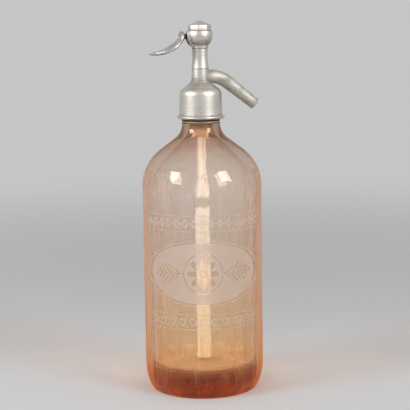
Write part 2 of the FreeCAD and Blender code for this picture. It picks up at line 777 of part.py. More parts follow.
def make_lever_tongue():
    """Steel arm from the pin, over the button, out through the slot."""
    half = tongue_width / 2
    shoulder = -(thumb_offset - thumb_thickness / 2) + fit_slack
    bar = Outline(lever_pin_offset, pin_height - eye_radius)
    bar.line(lever_pin_offset, pin_height + eye_radius)
    bar.line(shoulder, pin_height + eye_radius)
    bar.line(shoulder, pin_height + tail_height / 2)
    bar.line(tail_end(), pin_height + tail_height / 2)
    bar.line(tail_end(), pin_height - tail_height / 2)
    bar.line(shoulder, pin_height - tail_height / 2)
    bar.line(shoulder, pin_height - eye_radius)
    eye = lever_pin_bar(eye_radius, tongue_width)
    nose_start = Vector(0, -half, nose_centre)
    nose = cross_cylinder(nose_radius, nose_start, Vector(0, 1, 0), tongue_width)
    web = Outline(-nose_radius, nose_centre)
    web.line(nose_radius, nose_centre)
    web.line(nose_radius, pin_height)
    web.line(-nose_radius, pin_height)
    tongue = bar.extruded(half).fuse([eye, nose, web.extruded(half)]).removeSplitter()
    return tongue.cut(lever_pin_bar(lever_pin_radius + lever_pin_slack, tongue_width + 2 * overshoot))


def thumb_centres():
    """Centres of the thumbpiece's tight bend and long bend, in section."""
    first = (-thumb_offset - thumb_first_bend, pin_height + thumb_bend_rise)
    second = at_angle(first, thumb_second_bend - thumb_first_bend, 180 - thumb_bend_split)
    return first, second


def thumb_tip(lift):
    """End of the thumbpiece's section, at a height over its middle line."""
    _, second = thumb_centres()
    return second[0] - thumb_tip_length, second[1] - thumb_second_bend + lift


def thumb_band(back, front):
    """Curved band between two distances from the thumbpiece's middle line."""
    first, second = thumb_centres()
    top = thumb_chord_start
    half_width = thumb_half_width + overshoot
    band = Outline(-thumb_offset - back, top)
    band.round(first, thumb_first_bend - back, 0, -thumb_bend_split)
    band.round(second, thumb_second_bend - back, -thumb_bend_split, -90)
    band.line(*thumb_tip(back))
    band.line(*thumb_tip(front))
    band.round(second, thumb_second_bend - front, -90, -thumb_bend_split)
    band.round(first, thumb_first_bend - front, -thumb_bend_split, 0)
    band.line(-thumb_offset - front, top)
    return band.extruded(half_width)


def thumb_end_places():
    """Centres of the round upper end and the round tip, as (x, height)."""
    tip = thumb_tip(0)
    upper = (-thumb_offset, thumb_chord_start - thumb_top_half_width)
    return upper, (tip[0] + thumb_tip_half_width, tip[1])


def thumb_plan(margin):
    """Sides of the thumbpiece seen square to its chord, made solid, less a margin."""
    upper, lower = thumb_end_places()
    start = Vector(upper[0], 0, upper[1])
    end = Vector(lower[0], 0, lower[1])
    length = end.distanceToPoint(start)
    along = (end - start).normalize()
    across = Vector(0, 1, 0)
    facing = along.cross(across).normalize()

    def place(distance, side):
        return start + along * distance + across * side

    top_side = thumb_top_half_width - margin
    wide_side = thumb_half_width - margin
    tip_side = thumb_tip_half_width - margin
    corners = [place(-length, -top_side), place(-length, top_side), place(0, top_side),
               place(length, tip_side), place(2 * length, tip_side), place(2 * length, -tip_side),
               place(length, -tip_side), place(0, -top_side)]
    edges = [Part.LineSegment(corners[0], corners[1]).toShape(),
             Part.LineSegment(corners[1], corners[2]).toShape(),
             Part.Arc(corners[2], place(thumb_widest, wide_side), corners[3]).toShape(),
             Part.LineSegment(corners[3], corners[4]).toShape(),
             Part.LineSegment(corners[4], corners[5]).toShape(),
             Part.LineSegment(corners[5], corners[6]).toShape(),
             Part.Arc(corners[6], place(thumb_widest, -wide_side), corners[7]).toShape(),
             Part.LineSegment(corners[7], corners[0]).toShape()]
    depth = 2 * thumb_second_bend
    plan = Part.Face(Part.Wire(edges)).extrude(facing * depth)
    plan.translate(facing * (-depth / 2))
    return plan


def thumb_ends(margin):
    """Solid that rounds the upper end seen from the side, and the tip seen from above."""
    upper, lower = thumb_end_places()
    size = 4 * thumb_second_bend
    below = Part.makeBox(size, size, size, Vector(-size / 2, -size / 2, upper[1] - size))
    upper_round = cross_cylinder(thumb_top_half_width - margin, Vector(-size / 2, 0, upper[1]),
                                 Vector(1, 0, 0), size)
    beside = Part.makeBox(size, size, size, Vector(lower[0], -size / 2, lower[1] - size / 2))
    lower_round = cross_cylinder(thumb_tip_half_width - margin, Vector(lower[0], 0, lower[1] - size / 2),
                                 Vector(0, 0, 1), size)
    return below.fuse(upper_round).common(beside.fuse(lower_round))


def make_lever_thumbpiece():
    """Cast thumb rest: a curved leaf with a raised rim, on the tongue's tail."""
    half = thumb_thickness / 2
    leaf = thumb_band(-half, half).common(thumb_plan(0)).common(thumb_ends(0))
    groove = thumb_band(half - thumb_groove_depth, half + overshoot)
    groove = groove.common(thumb_plan(thumb_rim)).common(thumb_ends(thumb_rim))
    pocket_height = tail_height + 2 * fit_slack
    pocket_width = tongue_width + 2 * fit_slack
    pocket = Part.makeBox(2 * thumb_thickness, pocket_width, pocket_height)
    pocket.translate(Vector(tail_end() - fit_slack, -pocket_width / 2, pin_height - pocket_height / 2))
    return leaf.cut(groove).cut(pocket)


# ---------------------------------------------------------------- valve and rod
def make_valve_rod():
    """Rod from the valve up to the button."""
    return cylinder(rod_radius, nut_base - rod_tail, button_base)


def make_rod_button():
    """Round button on the rod's end, under the lever's nose."""
    button = cylinder(button_radius, button_base, button_top)
    return button.makeFillet(button_edge_round, circles_at(button, button_top, button_radius))


def make_valve_rubber():
    """Rubber disc that closes upwards on the seat."""
    return ring(rubber_radius, rod_radius + fit_slack, rubber_base, rubber_top)


def make_valve_cup():
    """Metal cup that backs the rubber disc."""
    cup = ring(cup_radius, rod_radius + fit_slack, cup_base, rubber_base + cup_grip)
    return cup.cut(cylinder(rubber_radius + fit_slack, rubber_base, rubber_top))


def make_valve_nut():
    """Six-sided nut under the cup."""
    corner = nut_across_flats / 2 / math.cos(math.pi / nut_corners)
    nut = prism(corner, nut_corners, 0, nut_base, cup_base)
    return nut.cut(cylinder(rod_radius + fit_slack, nut_base, cup_base))


def make_packing_washers():
    """Leather washers that seal the rod, as separate solids."""
    washers = []
    for place in range(packing_count):
        low = gland_floor + place * packing_thickness
        washers.append(ring(gland_radius - packing_slack, rod_hole, low, low + packing_thickness))
    return Part.makeCompound(washers)


def make_gland_nut():
    """Slotted nut that presses the leather washers down."""
    low = gland_floor + packing_count * packing_thickness
    nut = ring(gland_radius - packing_slack, rod_hole, low, spigot_top)
    slot = Part.makeBox(2 * gland_radius, gland_nut_slot, gland_nut_slot_depth + overshoot)
    slot.translate(Vector(-gland_radius, -gland_nut_slot / 2, spigot_top - gland_nut_slot_depth))
    return nut.cut(slot)


def spring_seat():
    """Height of the washer's upper face, where the spring starts."""
    return spigot_top + spring_washer_thickness


def make_spring_washer():
    """Washer under the spring."""
    return ring(column_bore - spring_washer_slack, rod_hole + spring_washer_slack, spigot_top, spring_seat())


def make_spring():
    """Coil spring between the washer and the button."""
    low = spring_seat() + spring_wire / 2 + fit_slack
    high = button_base - spring_wire / 2 - fit_slack
    pitch = (high - low) / spring_turns
    path = Part.makeHelix(pitch, high - low, spring_radius)
    wire = Part.Wire([Part.Circle(Vector(spring_radius, 0, 0), Vector(0, 1, 0), spring_wire / 2).toShape()])
    spring = Part.Wire(path).makePipeShell([wire], True, True)
    spring.translate(Vector(0, 0, low))
    return spring


# ---------------------------------------------------------------- dip tube and holder
def make_dip_tube():
    """Glass tube from the head down to the bottle's floor."""
    low = floor_height + floor_dome + tube_floor_gap
    return ring(tube_radius, tube_bore, low, socket_top - tube_top_gap)


def make_tube_sleeve():
    """Rubber sleeve that grips the tube in the casting's socket."""
    inner = tube_radius + sleeve_slack
    head = ring(boss_bore - fit_slack, inner, socket_top - sleeve_head_height, socket_top)
    tail = ring(inner + sleeve_wall, inner, boss_end - sleeve_drop, socket_top - sleeve_head_height)
    return head.fuse(tail).removeSplitter()


def make_tube_nut():
    """Nut screwed into the socket, under the sleeve's thick part."""
    hole = tube_radius + sleeve_slack + sleeve_wall + fit_slack
    thread = ring(boss_bore - fit_slack, hole, boss_end, socket_top - sleeve_head_height)
    head = ring(boss_radius, hole, boss_end - tube_nut_height, boss_end)
    return head.fuse(thread).removeSplitter()


# ---------------------------------------------------------------- files
makers = {
    "bottle": make_bottle,
    "neck_gasket": make_gasket,
    "collar_half_front": lambda: make_collar_half(True),
    "collar_half_back": lambda: make_collar_half(False),
    "head_bell": make_head_bell,
    "locking_pin": make_locking_pin,
    "spout": make_spout,
    "column": make_column,
    "lever_housing": make_lever_housing,
    "housing_cap": make_housing_cap,
    "lever_pin": make_lever_pin,
    "lever_tongue": make_lever_tongue,
    "lever_thumbpiece": make_lever_thumbpiece,
    "valve_rod": make_valve_rod,
    "rod_button": make_rod_button,
    "valve_rubber": make_valve_rubber,
    "valve_cup": make_valve_cup,
    "valve_nut": make_valve_nut,
    "packing_washers": make_packing_washers,
    "gland_nut": make_gland_nut,
    "spring_washer": make_spring_washer,
    "spring": make_spring,
    "dip_tube": make_dip_tube,
    "tube_sleeve": make_tube_sleeve,
    "tube_nut": make_tube_nut,
}

os.makedirs("parts", exist_ok=True)
for name, make in makers.items():
    shape = make()
    box = shape.BoundBox
    print(f"{name:20s} solids {len(shape.Solids)} valid {shape.isValid()} volume {shape.Volume:10.2f}"
          f"  x {box.XMin:7.2f} {box.XMax:7.2f}  y {box.YMin:7.2f} {box.YMax:7.2f}"
          f"  z {box.ZMin:7.2f} {box.ZMax:7.2f}")
    shape.exportStep(f"parts/{name}.step")
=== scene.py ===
"""Soda siphon: the looks of a twelve-sided glass bottle with its turned head, spout and lever.

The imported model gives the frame: the bottle stands on the origin, with the spout towards +X and
the lever towards -X. Sizes in the classes are in millimetres, and meshes and shaders are in metres.
"""
import functools
import logging
import math
from collections.abc import Callable
from dataclasses import dataclass
from enum import Enum

import bmesh
import bpy
from mathutils import Matrix, Vector


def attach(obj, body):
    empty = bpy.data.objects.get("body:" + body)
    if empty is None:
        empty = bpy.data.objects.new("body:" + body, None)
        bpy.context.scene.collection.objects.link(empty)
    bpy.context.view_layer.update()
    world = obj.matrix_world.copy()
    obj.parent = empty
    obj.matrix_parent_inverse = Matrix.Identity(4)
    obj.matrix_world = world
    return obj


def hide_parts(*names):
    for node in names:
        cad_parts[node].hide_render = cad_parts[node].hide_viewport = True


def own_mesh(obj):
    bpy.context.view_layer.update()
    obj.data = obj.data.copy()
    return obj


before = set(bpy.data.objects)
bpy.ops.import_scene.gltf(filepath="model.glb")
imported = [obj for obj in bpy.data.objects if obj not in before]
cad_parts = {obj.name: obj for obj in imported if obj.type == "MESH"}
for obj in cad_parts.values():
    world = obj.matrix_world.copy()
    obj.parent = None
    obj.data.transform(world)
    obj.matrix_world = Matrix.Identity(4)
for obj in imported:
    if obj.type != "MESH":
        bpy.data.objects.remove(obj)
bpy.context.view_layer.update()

log = logging.getLogger("siphon")

MM = 0.001                      # a millimetre, in metres
FINE = 0.02                     # vertices nearer than this are one, in millimetres
MIDDLE = (0.0, 0.0, 0.0)
Colour = tuple[float, float, float]
Tones = tuple[tuple[float, Colour], ...]        # heights in millimetres, each with a colour


# ------------------------------------------------------------------ shader maths
class Wire:
    """An output of a shader node that Python's operators work on."""

    def __init__(self, graph: "Graph", socket: bpy.types.NodeSocket) -> None:
        """Keeps the socket and the nodes that it belongs to."""
        self.graph = graph
        self.socket = socket

    def __add__(self, other: "Number") -> "Wire":
        """The sum of two values."""
        return self.graph.maths("ADD", self, other)

    def __sub__(self, other: "Number") -> "Wire":
        """This value less another."""
        return self.graph.maths("SUBTRACT", self, other)

    def __rsub__(self, other: "Number") -> "Wire":
        """Another value less this one."""
        return self.graph.maths("SUBTRACT", other, self)

    def __mul__(self, other: "Number") -> "Wire":
        """The product of two values."""
        return self.graph.maths("MULTIPLY", self, other)

    def __truediv__(self, other: "Number") -> "Wire":
        """This value divided by another."""
        return self.graph.maths("DIVIDE", self, other)

    def __pow__(self, other: "Number") -> "Wire":
        """This value to a power."""
        return self.graph.maths("POWER", self, other)

    def __abs__(self) -> "Wire":
        """The value without its sign."""
        return self.graph.maths("ABSOLUTE", self)

    __radd__ = __add__
    __rmul__ = __mul__


Number = float | Wire


def ease(share: Number) -> Number:
    """A share from 0 to 1, made to start and end gently."""
    return share * share * (3.0 - share * 2.0)


class Graph:
    """The nodes of a material, or of the world."""

    def __init__(self, owner: bpy.types.ID, output: str = "OutputMaterial") -> None:
        """Clears the owner's nodes and adds its output.

        Args:
            owner: the material or the world.
            output: the output's type, without the ShaderNode in front.
        """
        owner.use_nodes = True
        self.owner = owner
        self.tree = owner.node_tree
        self.tree.nodes.clear()
        self.result = self.tree.nodes.new("ShaderNode" + output)

    @classmethod
    def of(cls, name: str) -> "Graph":
        """The nodes of a new material."""
        return cls(bpy.data.materials.new(name))

    def node(self, kind: str, settings: dict | None = None, sockets: dict | None = None,
             output: int | str = 0) -> Wire:
        """Adds one node.

        Args:
            kind: the node's type, without the ShaderNode in front.
            settings: the node's own settings, and a colour ramp's stops.
            sockets: a value or a wire for each input, by name or place.
            output: the output to use, by name or place.

        Returns:
            The chosen output.
        """
        node = self.tree.nodes.new("ShaderNode" + kind)
        for name, value in (settings or {}).items():
            if name == "stops":
                stops = node.color_ramp.elements
                while len(stops) < len(value):
                    stops.new(1.0)
                for element, (place, colour) in zip(stops, value):
                    element.position = place
                    element.color = (*colour, 1.0)
            else:
                setattr(node, name, value)
        for name, value in (sockets or {}).items():
            if isinstance(value, Wire):
                self.tree.links.new(value.socket, node.inputs[name])
            elif isinstance(value, tuple) and node.inputs[name].type == "RGBA":
                node.inputs[name].default_value = (*value, 1.0)
            else:
                node.inputs[name].default_value = value
        return Wire(self, node.outputs[output])

    def maths(self, operation: str, *values: Number, clamp: bool = False) -> Wire:
        """Adds a Math node with its inputs in order, held between 0 and 1 where clamp asks for it."""
        settings = {"operation": operation, "use_clamp": clamp}
        return self.node("Math", settings, dict(enumerate(values)))

    def most(self, first: Number, *others: Number) -> Number:
        """The largest of some values.

        Args:
            first: one value.
            others: the rest.

        Returns:
            The largest.
        """
        for other in others:
            first = self.maths("MAXIMUM", first, other)
        return first

    def span(self, first: Wire, second: Wire) -> Wire:
        """The length of a line, from its two parts."""
        return self.maths("SQRT", first ** 2.0 + second ** 2.0)

    def blend(self, share: Number, first: "Colour | Wire", second: "Colour | Wire") -> Wire:
        """Mixes two colours, from the first at 0 to the second at 1."""
        return self.node("Mix", {"data_type": "RGBA"}, {0: share, 6: first, 7: second}, 2)

    def place(self) -> Wire:
        """The point that is shaded, on the piece itself."""
        return self.node("TexCoord", output="Object")

    def here(self) -> tuple[Wire, Wire, Wire]:
        """The point that is shaded.

        Returns:
            Its place along +X, +Y and +Z, in millimetres.
        """
        place = self.place()
        east, north, height = (self.node("SeparateXYZ", None, {0: place}, axis) for axis in range(3))
        return east / MM, north / MM, height / MM

    def noise(self, size: float | tuple[float, float, float], detail: float = 2.0,
              shift: float = 0.0) -> Wire:
        """Noise fixed to the piece.

        Args:
            size: width of its patches in millimetres, or one width for each axis.
            detail: how many finer layers it has.
            shift: millimetres that it is moved by, to give another draw.

        Returns:
            A value from 0 to 1, mostly near one half.
        """
        sizes = size if isinstance(size, tuple) else (size, size, size)
        scale = tuple(1.0 / (MM * width) for width in sizes)
        moved = tuple(shift / width for width in sizes)
        place = self.node("Mapping", None, {"Vector": self.place(), "Location": moved, "Scale": scale})
        return self.node("TexNoise", None, {"Vector": place, "Scale": 1.0, "Detail": detail})

    def below(self, value: Number, limit: Number, soft: float) -> Wire:
        """One where the value is under the limit and zero over it, with an edge as wide as soft."""
        return self.maths("ADD", (limit - value) / soft, 0.5, clamp=True)

    def bump(self, height: Wire, depth: float, under: Wire | None = None) -> Wire:
        """A normal that follows a height.

        Args:
            height: the height, from 0 to 1.
            depth: what 1 stands for, in millimetres.
            under: another bump that this one lies on.

        Returns:
            The normal.
        """
        sockets = {"Height": height, "Distance": depth * MM, "Strength": 1.0}
        if under is not None:
            sockets["Normal"] = under
        return self.node("Bump", None, sockets)

    def seen(self) -> Number:
        """One for a ray from the camera, from a mirror or through glass, and zero for the rest."""
        rays = ("Is Camera Ray", "Is Glossy Ray", "Is Transmission Ray")
        return self.most(*(self.node("LightPath", output=ray) for ray in rays))

    def finish(self, surface: Wire, volume: Wire | None = None) -> bpy.types.ID:
        """Links the shaders to the output.

        Args:
            surface: the surface's shader.
            volume: the shader of what is inside.

        Returns:
            The material or the world.
        """
        self.tree.links.new(surface.socket, self.result.inputs["Surface"])
        if volume is not None:
            self.tree.links.new(volume.socket, self.result.inputs["Volume"])
        return self.owner


# ------------------------------------------------------------------ finishes
@dataclass(frozen=True)
class MetalFinish:
    """Bare metal, turned or cast, dulled by years of handling.

    Attributes:
        name: the material's name.
        bright: colour where it is rubbed.
        dull: colour of the rest.
        grime_and_shade: colour of the soil in its corners and turning lines, and of the painted shade under
            an overhang.
        roughness: of the rubbed metal.
        line_depth: depth of the turning lines.
        line_pitch: distance between turning lines.
        grain_depth: depth of the cast grain.
        grain_size: width of the cast grain.
        dirt_and_shade_heights: each height that is darkened, with how far the darkening reaches from it:
            soil at joints and hollows, and painted shade where it lies on a ball's lower half.
        painted_shade_from: height above which all of it takes the grime colour, as painted shade under an
            overhang.
        wear: how unevenly the metal is dulled, from 0 to 1.
        patch_size: width of the dulled patches.
        speck_size: width of the dark specks.
        line_length: how far a turning line runs before it changes.
    """

    name: str
    bright: Colour
    dull: Colour
    grime_and_shade: Colour
    roughness: float = 0.3
    line_depth: float = 0.0
    line_pitch: float = 0.8
    grain_depth: float = 0.0
    grain_size: float = 1.0
    dirt_and_shade_heights: tuple[tuple[float, float], ...] = ()
    painted_shade_from: float = math.inf
    wear: float = 0.6
    patch_size: float = 7.0
    speck_size: float = 0.9
    line_length: float = 26.0

    def dirt_and_shade(self, graph: Graph, height: Wire) -> Wire:
        """How dark the metal is made: dark specks, more of them near the darkened heights, a band at each
        such height, and painted shade over all of it above painted_shade_from.

        Args:
            graph: the material's nodes.
            height: the point's height.

        Returns:
            The darkening, soil and painted shade together, from 0 up.
        """
        specks = graph.noise(self.speck_size, 3.0, shift=31.0)
        rings: Number = 0.0
        # Each darkened height adds a band and more dark specks; on the ball's lower half that band is
        # painted shade as well as soil.
        for place, reach in self.dirt_and_shade_heights:
            rings = graph.most(rings, 1.0 - abs(height - place) / reach)
        specks = graph.below(specks, 0.36 + rings * 0.24, 0.12) * 0.6
        dirt_and_shade = graph.maths("ADD", specks, rings * 0.35, clamp=True)
        # Painted shade: above painted_shade_from the whole surface takes the grime colour, as where the
        # collar lies under the bell's rim.
        if math.isfinite(self.painted_shade_from):
            dirt_and_shade = graph.most(dirt_and_shade, graph.below(self.painted_shade_from, height, 0.3) * 1.3)
        return dirt_and_shade

    def build(self) -> bpy.types.Material:
        """Makes the material.

        Returns:
            The material.
        """
        graph = Graph.of(self.name)
        patches = graph.noise(self.patch_size, 4.0)
        lines = graph.noise((self.line_length, self.line_length, self.line_pitch), 2.0)
        worn = graph.maths("ADD", (patches - 0.5) * 3.0 * self.wear, 0.5, clamp=True)
        dirt_and_shade = self.dirt_and_shade(graph, graph.here()[2])
        colour = graph.blend(worn, self.dull, self.bright)
        colour = graph.blend((lines - 0.5) * 0.5 + 0.12, colour, self.grime_and_shade)
        # The darkening mask, soil and painted shade together, blends the colour towards grime.
        colour = graph.blend(dirt_and_shade * 0.75, colour, self.grime_and_shade)
        roughness = self.roughness + (1.0 - worn) * 0.1 + (lines - 0.5) * 0.15 + dirt_and_shade * 0.3
        normal = graph.bump(lines, self.line_depth)
        normal = graph.bump(graph.noise(self.grain_size, 4.0, shift=7.0), self.grain_depth, normal)
        return graph.finish(graph.node("BsdfPrincipled", None, {
            "Base Color": colour, "Metallic": 1.0, "Roughness": roughness, "Normal": normal}))


@dataclass(frozen=True)
class SoftFinish:
    """Rubber or leather.

    Attributes:
        name: the material's name.
        colour: of the clean surface.
        worn: of the rubbed or chalky places.
        roughness: of the surface.
        grain_depth: depth of its grain, in millimetres.
    """

    name: str
    colour: Colour
    worn: Colour
    roughness: float = 0.6
    grain_depth: float = 0.03

    def build(self) -> bpy.types.Material:
        """Makes the material.

        Returns:
            The material.
        """
        graph = Graph.of(self.name)
        patches = graph.noise(3.0, 4.0)
        return graph.finish(graph.node("BsdfPrincipled", None, {
            "Base Color": graph.blend(patches, self.colour, self.worn),
            "Roughness": self.roughness + (patches - 0.5) * 0.3,
            "Normal": graph.bump(graph.noise(0.5, 3.0), self.grain_depth)}))


@dataclass(frozen=True)
class EtchedBelt:
    """A row of etched figures round the bottle, between two lines.

    Attributes:
        height: of the row's middle.
        half_height: middle to each line.
        pitch: from one figure to the next.
        line: width of a line.
        edge: softness of an etched edge.
    """

    height: float
    half_height: float
    pitch: float
    line: float = 0.7
    edge: float = 0.35

    def mask(self, graph: Graph, across: Wire, height: Wire) -> Wire:
        """One where the glass is etched.

        Args:
            graph: the material's nodes.
            across: width along the wall from the middle of the front.
            height: the point's height.

        Returns:
            The mask.
        """
        rise = height - self.height
        aside = abs(graph.maths("FRACT", across / self.pitch + 0.5) - 0.5) * self.pitch
        lines = graph.below(abs(abs(rise) - self.half_height), self.line / 2, self.edge)
        return self.figure(graph, aside, rise) + lines


@dataclass(frozen=True)
class DiamondBelt(EtchedBelt):
    """Diamonds with a clear middle, and a dot between each two.

    Attributes:
        narrow: how much taller than wide a diamond is.
        outer: half a diamond's height.
        inner: half its clear middle's height.
        soft: softness of its edges.
        dot: radius of a dot.
    """

    narrow: float = 1.5
    outer: float = 4.3
    inner: float = 1.9
    soft: float = 0.5
    dot: float = 0.8

    def figure(self, graph: Graph, aside: Wire, rise: Wire) -> Wire:
        """One diamond and half of each dot beside it.

        Args:
            graph: the material's nodes.
            aside: width from the figure's middle.
            rise: height over the row's middle.

        Returns:
            A mask.
        """
        size = aside * self.narrow + abs(rise)
        diamond = graph.below(size, self.outer, self.soft) - graph.below(size, self.inner, self.soft)
        return diamond + graph.below(graph.span(self.pitch / 2 - aside, rise), self.dot, self.edge)


@dataclass(frozen=True)
class BubbleBelt(EtchedBelt):
    """Rings of two sizes in turn, like rising bubbles.

    Attributes:
        ring: radius of a large ring.
        ring_line: half the width of its line.
        small: radius of a small bubble.
        small_rise: height of a small bubble over or under the row's middle.
    """

    ring: float = 2.7
    ring_line: float = 0.55
    small: float = 0.85
    small_rise: float = 3.3

    def figure(self, graph: Graph, aside: Wire, rise: Wire) -> Wire:
        """One large ring and half of each small bubble beside it.

        Args:
            graph: the material's nodes.
            aside: width from the figure's middle.
            rise: height over the row's middle.

        Returns:
            A mask.
        """
        ring = graph.below(abs(graph.span(aside, rise) - self.ring), self.ring_line, self.edge)
        small = graph.span(self.pitch / 2 - aside, abs(rise) - self.small_rise)
        return ring + graph.below(small, self.small, self.edge)


@dataclass(frozen=True)
class EtchedPanel:
    """An etched oval with a clear flower in a ring and two clear ferns, inside a thin line.

    Attributes:
        height: of the oval's middle.
        half_width: of the oval.
        half_height: of the oval.
        outline: size of the thin line, as a share of the oval's size.
        outline_half: half the thin line's width, as such a share.
        petal: how far a petal stands out of the flower's middle.
        middle: radius of the flower's middle.
        heart: radius of the etched ring in the flower.
        heart_half: half the width of that ring.
        ring: radius of the clear ring round the flower.
        ring_half: half the width of that ring.
        fern_start: where the leaf's outline starts, from the middle.
        fern_length: length of the leaf's outline.
        fern_half_height: half the leaf's height.
        fern_middle: middle of the leaf.
        fern_half: half the leaf's length.
        barb_pitch: from one barb to the next.
        barb_lean: how far a barb leans outwards as it rises.
        barb_half: half a barb's width, as a share of the pitch.
        rib: half the gap between the barbs of the two sides.
        stem: half the stem's width.
        stem_middle: middle of the stem.
        stem_half: half the stem's length.
        edge: softness of an etched edge.
    """

    height: float = 107.0
    half_width: float = 50.0
    half_height: float = 25.5
    outline: float = 1.075
    outline_half: float = 0.014
    petal: float = 8.5
    middle: float = 5.0
    heart: float = 2.6
    heart_half: float = 0.6
    ring: float = 16.6
    ring_half: float = 0.5
    fern_start: float = 19.0
    fern_length: float = 26.5
    fern_half_height: float = 8.5
    fern_middle: float = 32.2
    fern_half: float = 13.2
    barb_pitch: float = 4.4
    barb_lean: float = 0.8
    barb_half: float = 0.27
    rib: float = 0.9
    stem: float = 0.45
    stem_middle: float = 31.4
    stem_half: float = 14.0
    edge: float = 0.35

    def flower(self, graph: Graph, across: Wire, rise: Wire) -> Wire:
        """The clear parts of the flower and the ring round it.

        Args:
            graph: the material's nodes.
            across: width from the panel's middle.
            rise: height over the panel's middle.

        Returns:
            A mask.
        """
        out = graph.span(across, rise)
        turn = graph.maths("ARCTAN2", rise, across)
        reach = abs(graph.maths("COSINE", turn * 4.0)) * self.petal + self.middle
        heart = graph.below(abs(out - self.heart), self.heart_half, self.edge)
        ring = graph.below(abs(out - self.ring), self.ring_half, self.edge)
        return graph.most(graph.below(out, reach, self.edge) - heart, ring)

    def fern(self, graph: Graph, side: Wire, up: Wire) -> Wire:
        """The clear barbs and stem of a fern.

        Args:
            graph: the material's nodes.
            side: width from the panel's middle, without its sign.
            up: height from the panel's middle, without its sign.

        Returns:
            A mask.
        """
        leaf = graph.maths("SINE", (side - self.fern_start) / self.fern_length * math.pi)
        inside = graph.below(up, leaf * self.fern_half_height, 0.6)
        inside = inside * graph.below(abs(side - self.fern_middle), self.fern_half, self.edge)
        barbs = graph.maths("FRACT", (side - up * self.barb_lean) / self.barb_pitch)
        barbs = graph.below(abs(barbs - 0.5), self.barb_half, 0.08) * graph.below(self.rib, up, self.edge)
        stem = graph.below(up, self.stem, self.edge)
        stem = stem * graph.below(abs(side - self.stem_middle), self.stem_half, self.edge)
        return graph.most(inside * barbs, stem)

    def mask(self, graph: Graph, across: Wire, height: Wire) -> Wire:
        """One where the glass is etched.

        Args:
            graph: the material's nodes.
            across: width along the wall from the middle of the front.
            height: the point's height.

        Returns:
            The mask.
        """
        rise = height - self.height
        oval = graph.span(across / self.half_width, rise / self.half_height)
        clear = graph.most(self.flower(graph, across, rise), self.fern(graph, abs(across), abs(rise)))
        line = graph.below(abs(oval - self.outline), self.outline_half, self.outline_half)
        return graph.below(oval, 1.0, 0.02) * (1.0 - clear) + line


